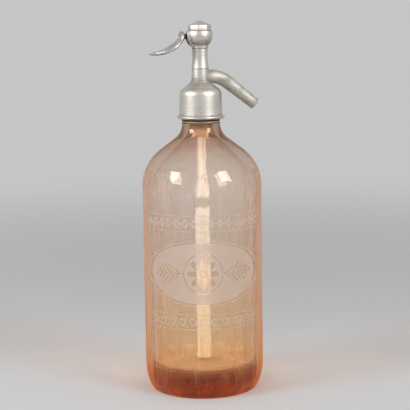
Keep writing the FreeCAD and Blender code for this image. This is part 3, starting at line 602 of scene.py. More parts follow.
@dataclass(frozen=True)
class BottleGlass:
    """Old pressed glass, pink where thin and amber where thick, with an etched front.

    Attributes:
        loss: light taken off in each colour along a metre of glass.
        density: density that the loss is written at.
        tints_and_shade: colours that the clear glass takes on, darkened at the neck partly by its thick
            amber glass and partly as painted shade.
        films_and_shade: colours of the old film on the glass, darkened at the neck as painted shade as well
            as by the thick amber glass.
        film: share of the surface that the film covers, seen square on.
        aslant_films_and_shade: colours of the film where the glass is seen aslant, darker and deeper than
            the film itself: painted shade on the glass's sides.
        base_shade: darker colour of the thick base's patches.
        base_top: height that those patches end at.
        sheen: colour of what the clear glass mirrors.
        lime: colour of the lime on the floor.
        lime_heights: where the lime starts and where it has faded by half.
        etch_colour: colour of the etched figures.
        shadow: colour that the lamps' light takes on at each surface.
        tallest: height that the colours end below.
        facing: direction in which the etched front looks, in degrees from +X.
        outside_radius: radius that only the bottle's outer wall lies beyond.
        wrap_radius: radius that widths on the wall are measured at.
        reach: width of the etched front to each side of its middle.
        figures: what is etched on the front.
    """

    loss: Colour = (6.2, 15.0, 22.0)
    density: float = 100.0
    # The last stops of tints, films and rims darken the neck: partly its thick amber glass, partly painted
    # shade.
    tints_and_shade: Tones = (
        (14.0, (0.52, 0.12, 0.004)), (19.0, (0.78, 0.38, 0.09)), (22.0, (0.97, 0.78, 0.52)),
        (30.0, (1.0, 0.88, 0.66)), (110.0, (1.0, 0.95, 0.87)), (160.0, (1.0, 1.0, 1.0)),
        (204.0, (1.0, 0.98, 0.96)), (217.0, (0.76, 0.60, 0.48)))
    films_and_shade: Tones = (
        (14.0, (0.70, 0.17, 0.006)), (24.0, (0.88, 0.50, 0.22)), (60.0, (0.90, 0.66, 0.44)),
        (130.0, (0.86, 0.71, 0.60)), (196.0, (0.84, 0.72, 0.62)), (208.0, (0.58, 0.31, 0.15)))
    film: float = 0.06
    # Painted shade: rims are darker and deeper than films, for the glass's darker sides.
    aslant_films_and_shade: Tones = (
        (14.0, (0.66, 0.19, 0.01)), (34.0, (0.70, 0.29, 0.07)), (90.0, (0.64, 0.34, 0.16)),
        (170.0, (0.58, 0.35, 0.21)), (206.0, (0.32, 0.15, 0.06)))
    base_shade: Colour = (0.20, 0.03, 0.001)
    base_top: float = 19.0
    sheen: Colour = (1.0, 0.92, 0.84)
    lime: Colour = (0.86, 0.82, 0.64)
    lime_heights: tuple[float, float] = (14.0, 27.0)
    etch_colour: Colour = (0.74, 0.63, 0.55)
    shadow: Colour = (0.92, 0.88, 0.83)
    tallest: float = 250.0
    facing: float = -105.0
    outside_radius: float = 47.2
    wrap_radius: float = 50.0
    reach: float = 55.0
    figures: tuple[EtchedPanel | EtchedBelt, ...] = (
        EtchedPanel(), DiamondBelt(148.5, 6.6, 7.4), BubbleBelt(66.5, 6.2, 9.2))

    def etching(self, graph: Graph) -> tuple[Wire, Wire]:
        """The etched figures and the outer wall that they lie on.

        Args:
            graph: the material's nodes.

        Returns:
            A mask of the figures and a mask of the outer wall.
        """
        east, north, height = graph.here()
        outside = graph.below(self.outside_radius, graph.span(east, north), 0.2)
        turn = math.radians(self.facing)
        ahead = east * math.cos(turn) + north * math.sin(turn)
        aside = north * math.cos(turn) - east * math.sin(turn)
        across = graph.maths("ARCTAN2", aside, ahead) * self.wrap_radius
        first, *rest = (figure.mask(graph, across, height) for figure in self.figures)
        figures = functools.reduce(Wire.__add__, rest, first)
        front = graph.below(abs(across), self.reach, 6.0)
        return graph.maths("MULTIPLY", figures * front, outside, clamp=True), outside

    def by_height(self, graph: Graph, tones: Tones, height: Wire) -> Wire:
        """A colour that runs through the given ones as the height grows."""
        stops = [(place / self.tallest, colour) for place, colour in tones]
        return graph.node("ValToRGB", {"stops": stops}, {"Fac": height / self.tallest})

    def covered(self, graph: Graph, streaks: Wire, outside: Wire, facing: Wire) -> Wire:
        """Share of the glass that its film and its stains cover, more where it is seen aslant.

        Args:
            graph: the material's nodes.
            streaks: upright streaks, from 0 to 1.
            outside: mask of the outer wall.
            facing: 0 where the glass is seen square on, and 1 where it is seen edge on.

        Returns:
            The share, from 0 to 1.
        """
        clouds = graph.noise((15.0, 15.0, 32.0), 4.0, shift=21.0)
        scratches = graph.below(0.63, graph.noise((0.8, 0.8, 24.0), 2.0, shift=11.0), 0.1)
        stains = graph.maths("SUBTRACT", streaks, 0.5, clamp=True) * 0.9
        stains = stains + graph.maths("SUBTRACT", clouds, 0.48, clamp=True) * 0.9 + scratches * 0.1
        return graph.maths("DIVIDE", stains * outside + self.film, (1.05 - facing) ** 2.0, clamp=True)

    def clear_glass(self, graph: Graph, height: Wire, normal: Wire) -> Wire:
        """The clean glass, with darker patches in the thick base.

        Args:
            graph: the material's nodes.
            height: the point's height.
            normal: the waves in the surface.

        Returns:
            The shader.
        """
        patches = graph.below(0.5, graph.noise((9.0, 9.0, 60.0), 3.0, shift=31.0), 0.3)
        patches = patches * graph.below(height, self.base_top, 3.0)
        # The tints hold painted shade at the neck as well as the glass's own colour.
        tint = graph.blend(patches, self.by_height(graph, self.tints_and_shade, height), self.base_shade)
        return graph.node("BsdfPrincipled", None, {
            "Base Color": tint, "Roughness": 0.0, "IOR": 1.5, "Transmission Weight": 1.0,
            "Normal": normal, "Specular Tint": self.sheen})

    def build(self) -> bpy.types.Material:
        """Makes the material.

        Returns:
            The material.
        """
        graph = Graph.of("bottle_glass")
        etched, outside = self.etching(graph)
        height = graph.here()[2]
        streaks = graph.noise((1.5, 1.5, 45.0), 4.0)
        normal = graph.bump(graph.noise((14.0, 14.0, 120.0), 1.0, shift=5.0), 0.5)
        normal = graph.bump(streaks, 0.03, normal)
        facing = graph.node("LayerWeight", None, {"Blend": 0.5}, "Facing")
        covered = self.covered(graph, streaks, outside, facing)
        start, end = self.lime_heights
        lime = graph.below(start, height, 2.0) * graph.below(height, end, 10.0) * (1.0 - outside) * 0.6
        share = graph.maths("MAXIMUM", etched * 0.85, graph.most(covered, lime), clamp=True)
        # Painted shade: where the glass is seen aslant, the film takes the darker rims colours.
        aslant = graph.below(0.34, facing, 0.2) * graph.below(streaks, 0.56, 0.5)
        colour = graph.blend(aslant, self.by_height(graph, self.films_and_shade, height),
                             self.by_height(graph, self.aslant_films_and_shade, height))
        colour = graph.blend(lime * 1.6, colour, self.lime)
        frosted = graph.node("BsdfPrincipled", None, {
            "Base Color": graph.blend(etched, colour, self.etch_colour), "Roughness": 0.6, "IOR": 1.5,
            "Transmission Weight": 0.55, "Specular IOR Level": 0.2,
            "Normal": graph.bump(graph.noise(0.5, 2.0), 0.02, normal)})
        surface = graph.node("MixShader", None, {
            0: share, 1: self.clear_glass(graph, height, normal), 2: frosted})
        lamp = graph.node("LightPath", output="Is Shadow Ray")
        thin = graph.node("BsdfTransparent", None, {"Color": self.shadow})
        volume = graph.node("VolumeAbsorption", None, {
            "Color": tuple(1.0 - part / self.density for part in self.loss), "Density": self.density})
        return graph.finish(graph.node("MixShader", None, {0: lamp, 1: surface, 2: thin}), volume)


@dataclass(frozen=True)
class TubeGlass:
    """Clear glass tube, cream with lime inside except for one rinsed patch.

    Attributes:
        clear: colour of the clean glass.
        lime: colour of the lime.
        pale_lime: colour of its paler patches.
        patch_height: middle of the clear patch.
        patch_reach: how far the patch reaches up and down.
        ragged: how uneven the patch's edges are.
    """

    clear: Colour = (1.0, 0.99, 0.97)
    lime: Colour = (0.80, 0.79, 0.74)
    pale_lime: Colour = (0.87, 0.86, 0.83)
    patch_height: float = 161.0
    patch_reach: float = 5.0
    ragged: float = 14.0

    def build(self) -> bpy.types.Material:
        """Makes the material.

        Returns:
            The material.
        """
        graph = Graph.of("tube_glass")
        uneven = (graph.noise((4.0, 4.0, 9.0), 3.0) - 0.5) * self.ragged
        away = abs(graph.here()[2] - self.patch_height) + uneven
        runs = graph.below(0.6, graph.noise((1.6, 1.6, 50.0), 2.0, shift=3.0), 0.12) * 0.5
        rinsed = graph.most(graph.below(away, self.patch_reach, 3.0) * 0.8, runs)
        glass = graph.node("BsdfPrincipled", None, {
            "Base Color": self.clear, "Roughness": 0.03, "IOR": 1.48, "Transmission Weight": 1.0})
        lime = graph.node("BsdfPrincipled", None, {
            "Base Color": graph.blend(graph.noise(2.5, 3.0), self.lime, self.pale_lime),
            "Roughness": 0.45, "IOR": 1.48, "Transmission Weight": 0.15})
        return graph.finish(graph.node("MixShader", None, {0: rinsed, 1: lime, 2: glass}))


class Metal(Enum):
    """The metals of the siphon."""

    TIN = MetalFinish(
        "tin_alloy", (0.82, 0.785, 0.715), (0.60, 0.565, 0.50), (0.20, 0.17, 0.14), 0.38,
        line_depth=0.012, line_pitch=0.9, grain_depth=0.012, grain_size=2.5,
        # Painted shade and soil: the band at 293 mm darkens the lower half of the lever's ball, as if
        # shaded from the lamps above; the other bands are soil at joints and in hollows.
        dirt_and_shade_heights=((272.25, 0.5), (288.9, 0.6), (303.6, 0.7), (293.0, 5.5), (233.8, 1.0), (262.5, 5.5)))
    SPOUT = MetalFinish(
        "spout_alloy", (0.66, 0.63, 0.57), (0.45, 0.43, 0.37), (0.20, 0.18, 0.15), 0.60,
        grain_depth=0.06, grain_size=1.2, wear=1.0)
    LEVER = MetalFinish(
        "lever_alloy", (0.74, 0.725, 0.68), (0.46, 0.45, 0.41), (0.14, 0.13, 0.12), 0.40,
        grain_depth=0.06, grain_size=1.1, wear=0.9)
    STEEL = MetalFinish(
        "dark_steel", (0.12, 0.12, 0.12), (0.05, 0.05, 0.05), (0.03, 0.02, 0.02), 0.45,
        grain_depth=0.02)
    PIN = MetalFinish(
        "pin_steel", (0.85, 0.84, 0.82), (0.62, 0.61, 0.60), (0.25, 0.22, 0.20), 0.22,
        grain_depth=0.005)
    COLLAR = MetalFinish(
        "collar_brass", (0.52, 0.46, 0.39), (0.36, 0.30, 0.24), (0.05, 0.04, 0.03), 0.34,
        # Painted shade: above 228.8 mm the collar is painted nearly black, where it lies under the bell's
        # rim.
        line_depth=0.01, grain_depth=0.01, painted_shade_from=228.8)
    BRASS = MetalFinish(
        "valve_brass", (0.78, 0.68, 0.50), (0.55, 0.46, 0.32), (0.20, 0.15, 0.10), 0.34,
        line_depth=0.008, grain_depth=0.01)
    SPRING = MetalFinish(
        "spring_wire", (0.6, 0.58, 0.54), (0.36, 0.35, 0.33), (0.15, 0.12, 0.10), 0.35,
        grain_depth=0.01)

    @functools.cache
    def material(self) -> bpy.types.Material:
        """The metal's material, made when it is first asked for."""
        return self.value.build()


# ------------------------------------------------------------------ modelling
def off(centre: tuple[float, float], length: float, angle: float) -> tuple[float, float]:
    """The point at a length from a centre, in a direction in degrees from level."""
    turn = math.radians(angle)
    return centre[0] + length * math.cos(turn), centre[1] + length * math.sin(turn)


def falling(angle: float) -> Vector:
    """The direction from +X turned down towards -Z by an angle in radians."""
    return Vector((math.cos(angle), 0.0, -math.sin(angle)))


def shallow(half: float, rise: float) -> tuple[float, float]:
    """An arc's radius and half its sweep in degrees, from half its chord and its rise."""
    radius = (half ** 2 + rise ** 2) / (2 * rise)
    return radius, math.degrees(math.asin(half / radius))


def extrude(step: Vector) -> None:
    """Extrudes what is selected by a step in millimetres."""
    bpy.ops.mesh.extrude_region_move(TRANSFORM_OT_translate={"value": tuple(step * MM)})


def turn_about(angle: float, axis: str, centre: Vector | tuple[float, float, float] = MIDDLE) -> None:
    """Turns what is selected by an angle in radians, right-handed about an axis through a centre."""
    # the operator counts its angle the other way
    bpy.ops.transform.rotate(value=-angle, orient_axis=axis, center_override=tuple(centre))


def choose(piece: bpy.types.Object, test: Callable[[Vector], bool]) -> None:
    """Selects a piece's vertices in edit mode, and the edges and faces between them.

    Args:
        piece: the piece that is edited.
        test: says whether a vertex is chosen, from its place in millimetres.
    """
    mesh = bmesh.from_edit_mesh(piece.data)
    for part in (*mesh.faces, *mesh.edges, *mesh.verts):
        part.select = False
    for vertex in mesh.verts:
        if test(vertex.co / MM):
            vertex.select = True
    mesh.select_flush(True)
    bmesh.update_edit_mesh(piece.data)


def pick(piece: bpy.types.Object) -> None:
    """Selects one piece alone, and makes it the active one.

    Args:
        piece: the piece.
    """
    bpy.ops.object.select_all(action="DESELECT")
    piece.select_set(True)
    bpy.context.view_layer.objects.active = piece


def primitive(name: str, add: Callable[..., object], **settings: object) -> bpy.types.Object:
    """Adds a primitive as a new piece, with its place and turn in its mesh.

    Args:
        name: the piece's name.
        add: the operator that adds it.
        settings: the operator's settings.

    Returns:
        The piece.
    """
    bpy.ops.object.select_all(action="DESELECT")
    add(**settings)
    piece = bpy.context.object
    piece.name = piece.data.name = name
    pick(piece)
    bpy.ops.object.transform_apply(location=True, rotation=True, scale=True)
    return piece


def modify(piece: bpy.types.Object, kind: str, **settings: object) -> None:
    """Adds a modifier and applies it.

    Args:
        piece: the piece that is changed.
        kind: the modifier's type.
        settings: the modifier's settings.
    """
    pick(piece)
    modifier = piece.modifiers.new(kind.title(), kind)
    for name, value in settings.items():
        setattr(modifier, name, value)
    bpy.ops.object.modifier_apply(modifier=modifier.name)


def combine(piece: bpy.types.Object, other: bpy.types.Object, operation: str) -> None:
    """Joins another mesh to a piece or cuts it out, and removes the other mesh."""
    modify(piece, "BOOLEAN", object=other, operation=operation, solver="EXACT")
    bpy.data.objects.remove(other)


def soften(angle: float) -> None:
    """Shades the selected piece smooth, apart from edges sharper than an angle in degrees."""
    bpy.ops.object.shade_smooth_by_angle(angle=math.radians(angle))


def merge() -> None:
    """Selects all of the edited mesh and makes one point of those that meet."""
    bpy.ops.mesh.select_all(action="SELECT")
    bpy.ops.mesh.remove_doubles(threshold=FINE * MM)


def complete(smooth: float) -> None:
    """Turns the faces outwards, ends the editing and shades the piece.

    Args:
        smooth: edges sharper than this many degrees stay sharp.
    """
    bpy.ops.mesh.select_all(action="SELECT")
    bpy.ops.mesh.normals_make_consistent(inside=False)
    bpy.ops.object.mode_set(mode="OBJECT")
    soften(smooth)


def dress(piece: bpy.types.Object, material: bpy.types.Material) -> None:
    """Gives a piece one material all over."""
    piece.data.materials.clear()
    piece.data.materials.append(material)


def settle(piece: bpy.types.Object, body: str, node: str, material: bpy.types.Material) -> None:
    """Dresses a finished piece and ties it to the frame.

    Args:
        piece: the finished piece.
        body: the body that it moves with.
        node: the node that it stands for.
        material: its finish.
    """
    dress(piece, material)
    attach(piece, body)
    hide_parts(node)
    log.info("%s: %d faces, for %s on %s", piece.name, len(piece.data.polygons), node, body)


class Bench:
    """A new piece in edit mode, drawn in millimetres from a pen that starts at the origin."""

    def __init__(self, name: str) -> None:
        """Starts the piece as a single point.

        Args:
            name: the piece's name.
        """
        self.piece = primitive(name, bpy.ops.mesh.primitive_plane_add, size=MM)
        bpy.ops.object.mode_set(mode="EDIT")
        bpy.ops.mesh.merge(type="CENTER")
        self.pen = Vector((0.0, 0.0))

    def begin(self, radius: float, height: float) -> None:
        """Moves the first point to where the outline starts."""
        bpy.ops.transform.translate(value=(radius * MM, 0.0, height * MM))
        self.pen = Vector((radius, height))

    def line(self, *points: tuple[float, float]) -> None:
        """Draws straight lines from the pen.

        Args:
            points: each line's end, as radius and height.
        """
        for point in points:
            step = Vector(point) - self.pen
            extrude(Vector((step.x, 0.0, step.y)))
            self.pen = Vector(point)

    def arc(self, centre: tuple[float, float], sweep: float, chord: float = 0.8) -> None:
        """Draws an arc from the pen.

        Args:
            centre: the arc's centre, as radius and height.
            sweep: degrees, and anticlockwise is positive with the axis at the left.
            chord: the longest piece of the arc.
        """
        middle = Vector(centre)
        arm = self.pen - middle
        length = abs(math.radians(sweep)) * arm.length
        steps = max(math.ceil(length / chord), math.ceil(abs(sweep) / 12.0), 1)
        bpy.ops.mesh.spin(steps=steps, angle=math.radians(sweep), axis=(0.0, 1.0, 0.0),
                          center=(middle.x * MM, 0.0, middle.y * MM))
        arm.rotate(Matrix.Rotation(math.radians(sweep), 2))
        self.pen = middle + arm

    def steps(self, end: tuple[float, float], count: int) -> None:
        """Draws a straight line from the pen to an end, as a count of equal ones."""
        start = self.pen.copy()
        self.line(*(start.lerp(Vector(end), step / count) for step in range(1, count + 1)))

    def turn(self, sides: int, angle: float = 360.0) -> None:
        """Turns the outline round the axis, and merges what meets.

        Args:
            sides: how many sides the turned piece has.
            angle: degrees that it turns by.
        """
        bpy.ops.mesh.select_all(action="SELECT")
        bpy.ops.mesh.spin(steps=sides, angle=math.radians(angle), axis=(0.0, 0.0, 1.0))
        merge()

    def done(self, smooth: float = 38.0) -> bpy.types.Object:
        """Completes the piece, whose edges stay sharp where they turn by more degrees than smooth."""
        complete(smooth)
        return self.piece

    def turned(self, sides: int, smooth: float = 32.0) -> bpy.types.Object:
        """Closes the outline, turns it all the way round and ends the editing.

        Args:
            sides: how many sides the turned piece has.
            smooth: edges sharper than this many degrees stay sharp.

        Returns:
            The piece.
        """
        merge()
        self.turn(sides)
        return self.done(smooth)


# ------------------------------------------------------------------ bottle
@dataclass
class Bottle:
    """The glass bottle: twelve flats, a thick base, round shoulders and a narrow neck."""

    flats: int = 12
    half_flats: float = 49.3
    turned_radius: float = 50.88
    columns: int = 30
    punt_radius: float = 38.9
    punt_depth: float = 7.0
    foot_centre: tuple[float, float] = (42.96, 2.5)
    heel_centre: tuple[float, float] = (6.88, 23.0)
    heel_start: float = 29.6
    body_top: float = 172.3
    shoulder_round: float = 40.0
    shoulder_lean: float = 52.8
    hollow_centre: tuple[float, float] = (31.1, 226.0)
    neck_radius: float = 16.1
    neck_top: float = 227.0
    groove_radius: float = 13.0
    groove_top: float = 238.0
    bead_radius: float = 14.6
    bead_round: float = 1.2
    mouth: float = 246.0
    bore: float = 10.0
    inner_radius: float = 42.5
    inner_shoulder_round: float = 33.2
    inner_hollow_centre: tuple[float, float] = (35.28, 226.0)
    floor: float = 20.5
    floor_corner: float = 7.0
    floor_dome: float = 3.0
    crown: float = 0.3
    flat_start: float = 3.0
    flat_full: tuple[float, float] = (24.0, 166.0)
    flat_end: float = 192.0
    softening: int = 4
    soft_end: float = 190.0
    wall_rows: int = 24
    slope_rows: int = 8
    neck_rows: int = 6
    chord: float = 1.0
    fine_chord: float = 0.5
    corner_chord: float = 0.7
    dome_chord: float = 2.5

    def dome(self, bench: Bench, edge: float, low: float, rise: float) -> None:
        """Draws a shallow dome between its edge and the axis, whichever the pen is not at.

        Args:
            bench: the piece.
            edge: the dome's radius at its edge.
            low: height of its edge.
            rise: height of its middle over its edge.
        """
        radius, sweep = shallow(edge, rise)
        outwards = bench.pen.x < edge / 2
        bench.arc((0.0, low + rise - radius), -sweep if outwards else sweep, self.dome_chord)

    def outside(self, bench: Bench) -> None:
        """Draws the outline from the middle of the base, up the outside, to the mouth.

        Args:
            bench: the piece.
        """
        bench.begin(0.0, self.punt_depth)
        self.dome(bench, self.punt_radius, 0.0, self.punt_depth)
        bench.line((self.foot_centre[0], 0.0))
        bench.arc(self.foot_centre, 90.0 - self.heel_start, self.fine_chord)
        bench.arc(self.heel_centre, self.heel_start, self.chord)
        bench.steps((self.turned_radius, self.body_top), self.wall_rows)
        bulge = (self.turned_radius - self.shoulder_round, self.body_top)
        bench.arc(bulge, self.shoulder_lean, self.chord)
        hollow_round = self.hollow_centre[0] - self.neck_radius
        bench.steps(off(self.hollow_centre, -hollow_round, self.shoulder_lean), self.slope_rows)
        bench.arc(self.hollow_centre, -self.shoulder_lean, self.chord)
        bench.line((bench.pen.x, self.neck_top), (self.groove_radius, self.neck_top),
                   (self.groove_radius, self.groove_top), (self.bead_radius, self.groove_top),
                   (self.bead_radius, self.mouth - self.bead_round))
        bench.arc((self.bead_radius - self.bead_round, self.mouth - self.bead_round), 90.0, self.fine_chord)

    def inside(self, bench: Bench) -> None:
        """Draws the outline from the mouth, down the inside, to the middle of the floor.

        Args:
            bench: the piece.
        """
        bench.line((self.bore, self.mouth))
        bench.steps((self.bore, self.inner_hollow_centre[1]), self.neck_rows)
        bench.arc(self.inner_hollow_centre, self.shoulder_lean, self.chord)
        bulge = (self.inner_radius - self.inner_shoulder_round, self.body_top)
        bench.steps(off(bulge, self.inner_shoulder_round, self.shoulder_lean), self.slope_rows)
        bench.arc(bulge, -self.shoulder_lean, self.chord)
        corner = (self.inner_radius - self.floor_corner, self.floor + self.floor_corner)
        bench.steps((self.inner_radius, corner[1]), self.wall_rows)
        bench.arc(corner, -90.0, self.corner_chord)
        self.dome(bench, corner[0], self.floor, self.floor_dome)

    def fade(self, height: float) -> float:
        """How far a flat is pressed in at a height.

        Args:
            height: the height.

        Returns:
            The share, from 0 to 1.
        """
        low = (height - self.flat_start) / (self.flat_full[0] - self.flat_start)
        high = (self.flat_end - height) / (self.flat_end - self.flat_full[1])
        return ease(max(min(low, high, 1.0), 0.0))

    def press(self, bench: Bench) -> None:
        """Presses one flat, slightly crowned, into a slice of the outer wall, fading at both ends.

        A ring gets narrower as it gets flatter, so that its ends stay on the planes where it meets
        the next slices.

        Args:
            bench: the piece.
        """
        depth = (self.turned_radius - self.half_flats) / (1.0 - self.crown)
        to_corner = math.cos(math.pi / self.flats)
        reach: dict[float, float] = {}
        for vertex in bmesh.from_edit_mesh(bench.piece.data).verts:
            place = vertex.co / MM
            if self.flat_start < place.z < self.flat_end and place.xy.length > self.inner_radius + 0.5:
                height = round(place.z, 2)
                reach[height] = max(reach.get(height, 0.0), place.xy.length)
        for height, radius in sorted(reach.items()):
            squeeze = 1.0 - (1.0 - self.crown) * self.fade(height)
            hinge, corner = radius - depth, radius * to_corner
            narrow = (hinge + (corner - hinge) * squeeze) / corner
            choose(bench.piece, lambda p: abs(p.z - height) < FINE and p.xy.length > radius - 0.1)
            bpy.ops.transform.resize(value=(squeeze, narrow, 1.0), center_override=(hinge * MM, 0.0, 0.0))

    def build(self) -> None:
        """Makes one flat's slice, repeats it round the axis and softens the edges."""
        bench = Bench("bottle_glass_body")
        self.outside(bench)
        self.inside(bench)
        bench.turn(self.columns, 360.0 / self.flats)
        turn_about(math.pi / self.flats, "Z")
        self.press(bench)
        bpy.ops.mesh.select_all(action="SELECT")
        bpy.ops.mesh.spin(steps=self.flats, angle=math.tau, dupli=True, axis=(0.0, 0.0, 1.0))
        merge()
        wall = self.inner_radius + 1.0
        choose(bench.piece, lambda p: self.flat_start < p.z < self.soft_end and p.xy.length > wall)
        bpy.ops.mesh.vertices_smooth(factor=0.5, repeat=self.softening, zaxis=False)
        settle(bench.done(60.0), "head", "bottle", BottleGlass().build())


@dataclass
class DipTube:
    """The glass tube down the middle of the bottle, slightly uneven as drawn tubes are."""

    radius: float = 4.0
    bore: float = 2.3
    foot: float = 25.1
    top: float = 242.0
    rings: int = 40
    waver: float = 0.12
    end_round: float = 0.6
    sides: int = 48

    def build(self) -> None:
        """Draws the tube's wall and turns it round the axis."""
        bench = Bench("dip_tube_glass")
        start = self.foot + self.end_round
        bench.begin(self.bore, start)
        bench.arc((self.bore + self.end_round, start), 90.0, chord=0.3)
        bench.line((self.radius - self.end_round, self.foot))
        bench.arc((self.radius - self.end_round, start), 90.0, chord=0.3)
        start = bench.pen.y
        for ring in range(1, self.rings + 1):
            share = ring / self.rings
            thin = self.waver * (math.sin(share * 23.0) + math.sin(share * 9.0 + 1.0) - 2.0) / 2.0
            bench.line((self.radius + thin * (1.0 - share), start + (self.top - start) * share))
        bench.line((self.bore, self.top))
        bench.steps((self.bore, self.foot + self.end_round), self.rings)
        settle(bench.turned(self.sides, 38.0), "head", "dip_tube", TubeGlass().build())


# ------------------------------------------------------------------ head
@dataclass
class HeadCasting:
    """The turned casting that screws over the bottle's collar: rim, bell, shoulder and neck."""

    bore: float = 15.98
    rim_base: float = 230.35
    rim_edge: float = 18.5
    nose_centre: tuple[float, float] = (19.2, 232.0)
    nose_round: float = 0.9
    undercut: float = 60.0
    cove: float = 1.2
    bell_low: float = 18.05
    bell_high: float = 17.75
    shoulder_base: float = 250.3
    shoulder_round: float = 6.5
    hollow_centre: tuple[float, float] = (12.36, 263.9)
    hollow_round: float = 5.0
    neck_top_radius: float = 7.18
    neck_top: float = 272.25
    joint_chamfer: float = 0.22
    spigot_radius: float = 5.3
    spigot_top: float = 280.0
    ceiling: float = 247.5
    boss_radius: float = 9.2
    boss_end: float = 232.0
    boss_bore: float = 8.1
    socket_top: float = 243.5
    passage: float = 3.3
    sides: int = 128

    def lean(self) -> float:
        """The lean of the line that joins the shoulder to the hollow over it.

        Returns:
            Degrees from level of the line's normal.
        """
        apart = Vector(self.hollow_centre)
        apart -= Vector((self.bell_high - self.shoulder_round, self.shoulder_base))
        turn = math.degrees(math.atan2(apart.y, apart.x))
        return turn - math.degrees(math.acos((self.shoulder_round + self.hollow_round) / apart.length))

    def outside(self, bench: Bench) -> None:
        """Draws the rim, the bell, its shoulder and the neck.

        Args:
            bench: the piece.
        """
        bench.begin(self.bore, self.rim_base)
        bench.line((self.rim_edge, self.rim_base), off(self.nose_centre, self.nose_round, -self.undercut))
        bench.arc(self.nose_centre, self.undercut + 90.0, chord=0.25)
        cove_centre = (self.bell_low + self.cove, bench.pen.y + self.cove)
        bench.line((cove_centre[0], bench.pen.y))
        bench.arc(cove_centre, -90.0, chord=0.3)
        bench.steps((self.bell_high, self.shoulder_base), 5)
        lean = self.lean()
        bench.arc((self.bell_high - self.shoulder_round, self.shoulder_base), lean, chord=0.5)
        bench.line(off(self.hollow_centre, -self.hollow_round, lean))
        bench.arc(self.hollow_centre, -lean, chord=0.5)
        bench.line((self.neck_top_radius, self.neck_top - self.joint_chamfer),
                   (self.neck_top_radius - self.joint_chamfer, self.neck_top))

    def build(self) -> None:
        """Draws the casting's wall, down its inside too, and turns it."""
        bench = Bench("head_casting")
        self.outside(bench)
        bench.line(
            (self.spigot_radius, self.neck_top), (self.spigot_radius, self.spigot_top),
            (self.passage, self.spigot_top), (self.passage, self.socket_top),
            (self.boss_bore, self.socket_top), (self.boss_bore, self.boss_end),
            (self.boss_radius, self.boss_end), (self.boss_radius, self.ceiling),
            (self.bore, self.ceiling), (self.bore, self.rim_base))
        settle(bench.turned(self.sides), "head", "head_bell", Metal.TIN.material())


@dataclass
class Column:
    """The turned column between the casting and the lever's housing."""

    base: float = 272.25
    base_radius: float = 7.18
    waist: float = 6.42
    waist_height: float = 282.75
    top: float = 288.77
    top_radius: float = 6.5
    bead_centre: float = 287.37
    bead_half: float = 0.55
    bead_rise: float = 0.22
    chamfer: float = 0.22
    bore: float = 4.6
    spigot_radius: float = 5.5
    spigot_top: float = 292.5
    socket: float = 5.35
    socket_top: float = 280.05
    sides: int = 96

    def build(self) -> None:
        """Draws the column's wall and turns it."""
        bench = Bench("column_turned")
        bench.begin(self.base_radius - self.chamfer, self.base)
        bench.line((self.base_radius, self.base + self.chamfer))
        curve, sweep = shallow(self.waist_height - bench.pen.y, self.base_radius - self.waist)
        bench.arc((self.waist + curve, self.waist_height), -sweep, chord=1.2)
        bench.steps((self.top_radius, self.bead_centre - self.bead_half), 4)
        curve, sweep = shallow(self.bead_half, self.bead_rise)
        bench.arc((self.top_radius + self.bead_rise - curve, self.bead_centre), 2 * sweep, chord=0.2)
        bench.line(
            (self.top_radius, self.top - self.chamfer), (self.top_radius - self.chamfer, self.top),
            (self.spigot_radius, self.top), (self.spigot_radius, self.spigot_top),
            (self.bore, self.spigot_top), (self.bore, self.socket_top),
            (self.socket, self.socket_top), (self.socket, self.base),
            (self.base_radius - self.chamfer, self.base))
        settle(bench.turned(self.sides), "head", "column", Metal.TIN.material())


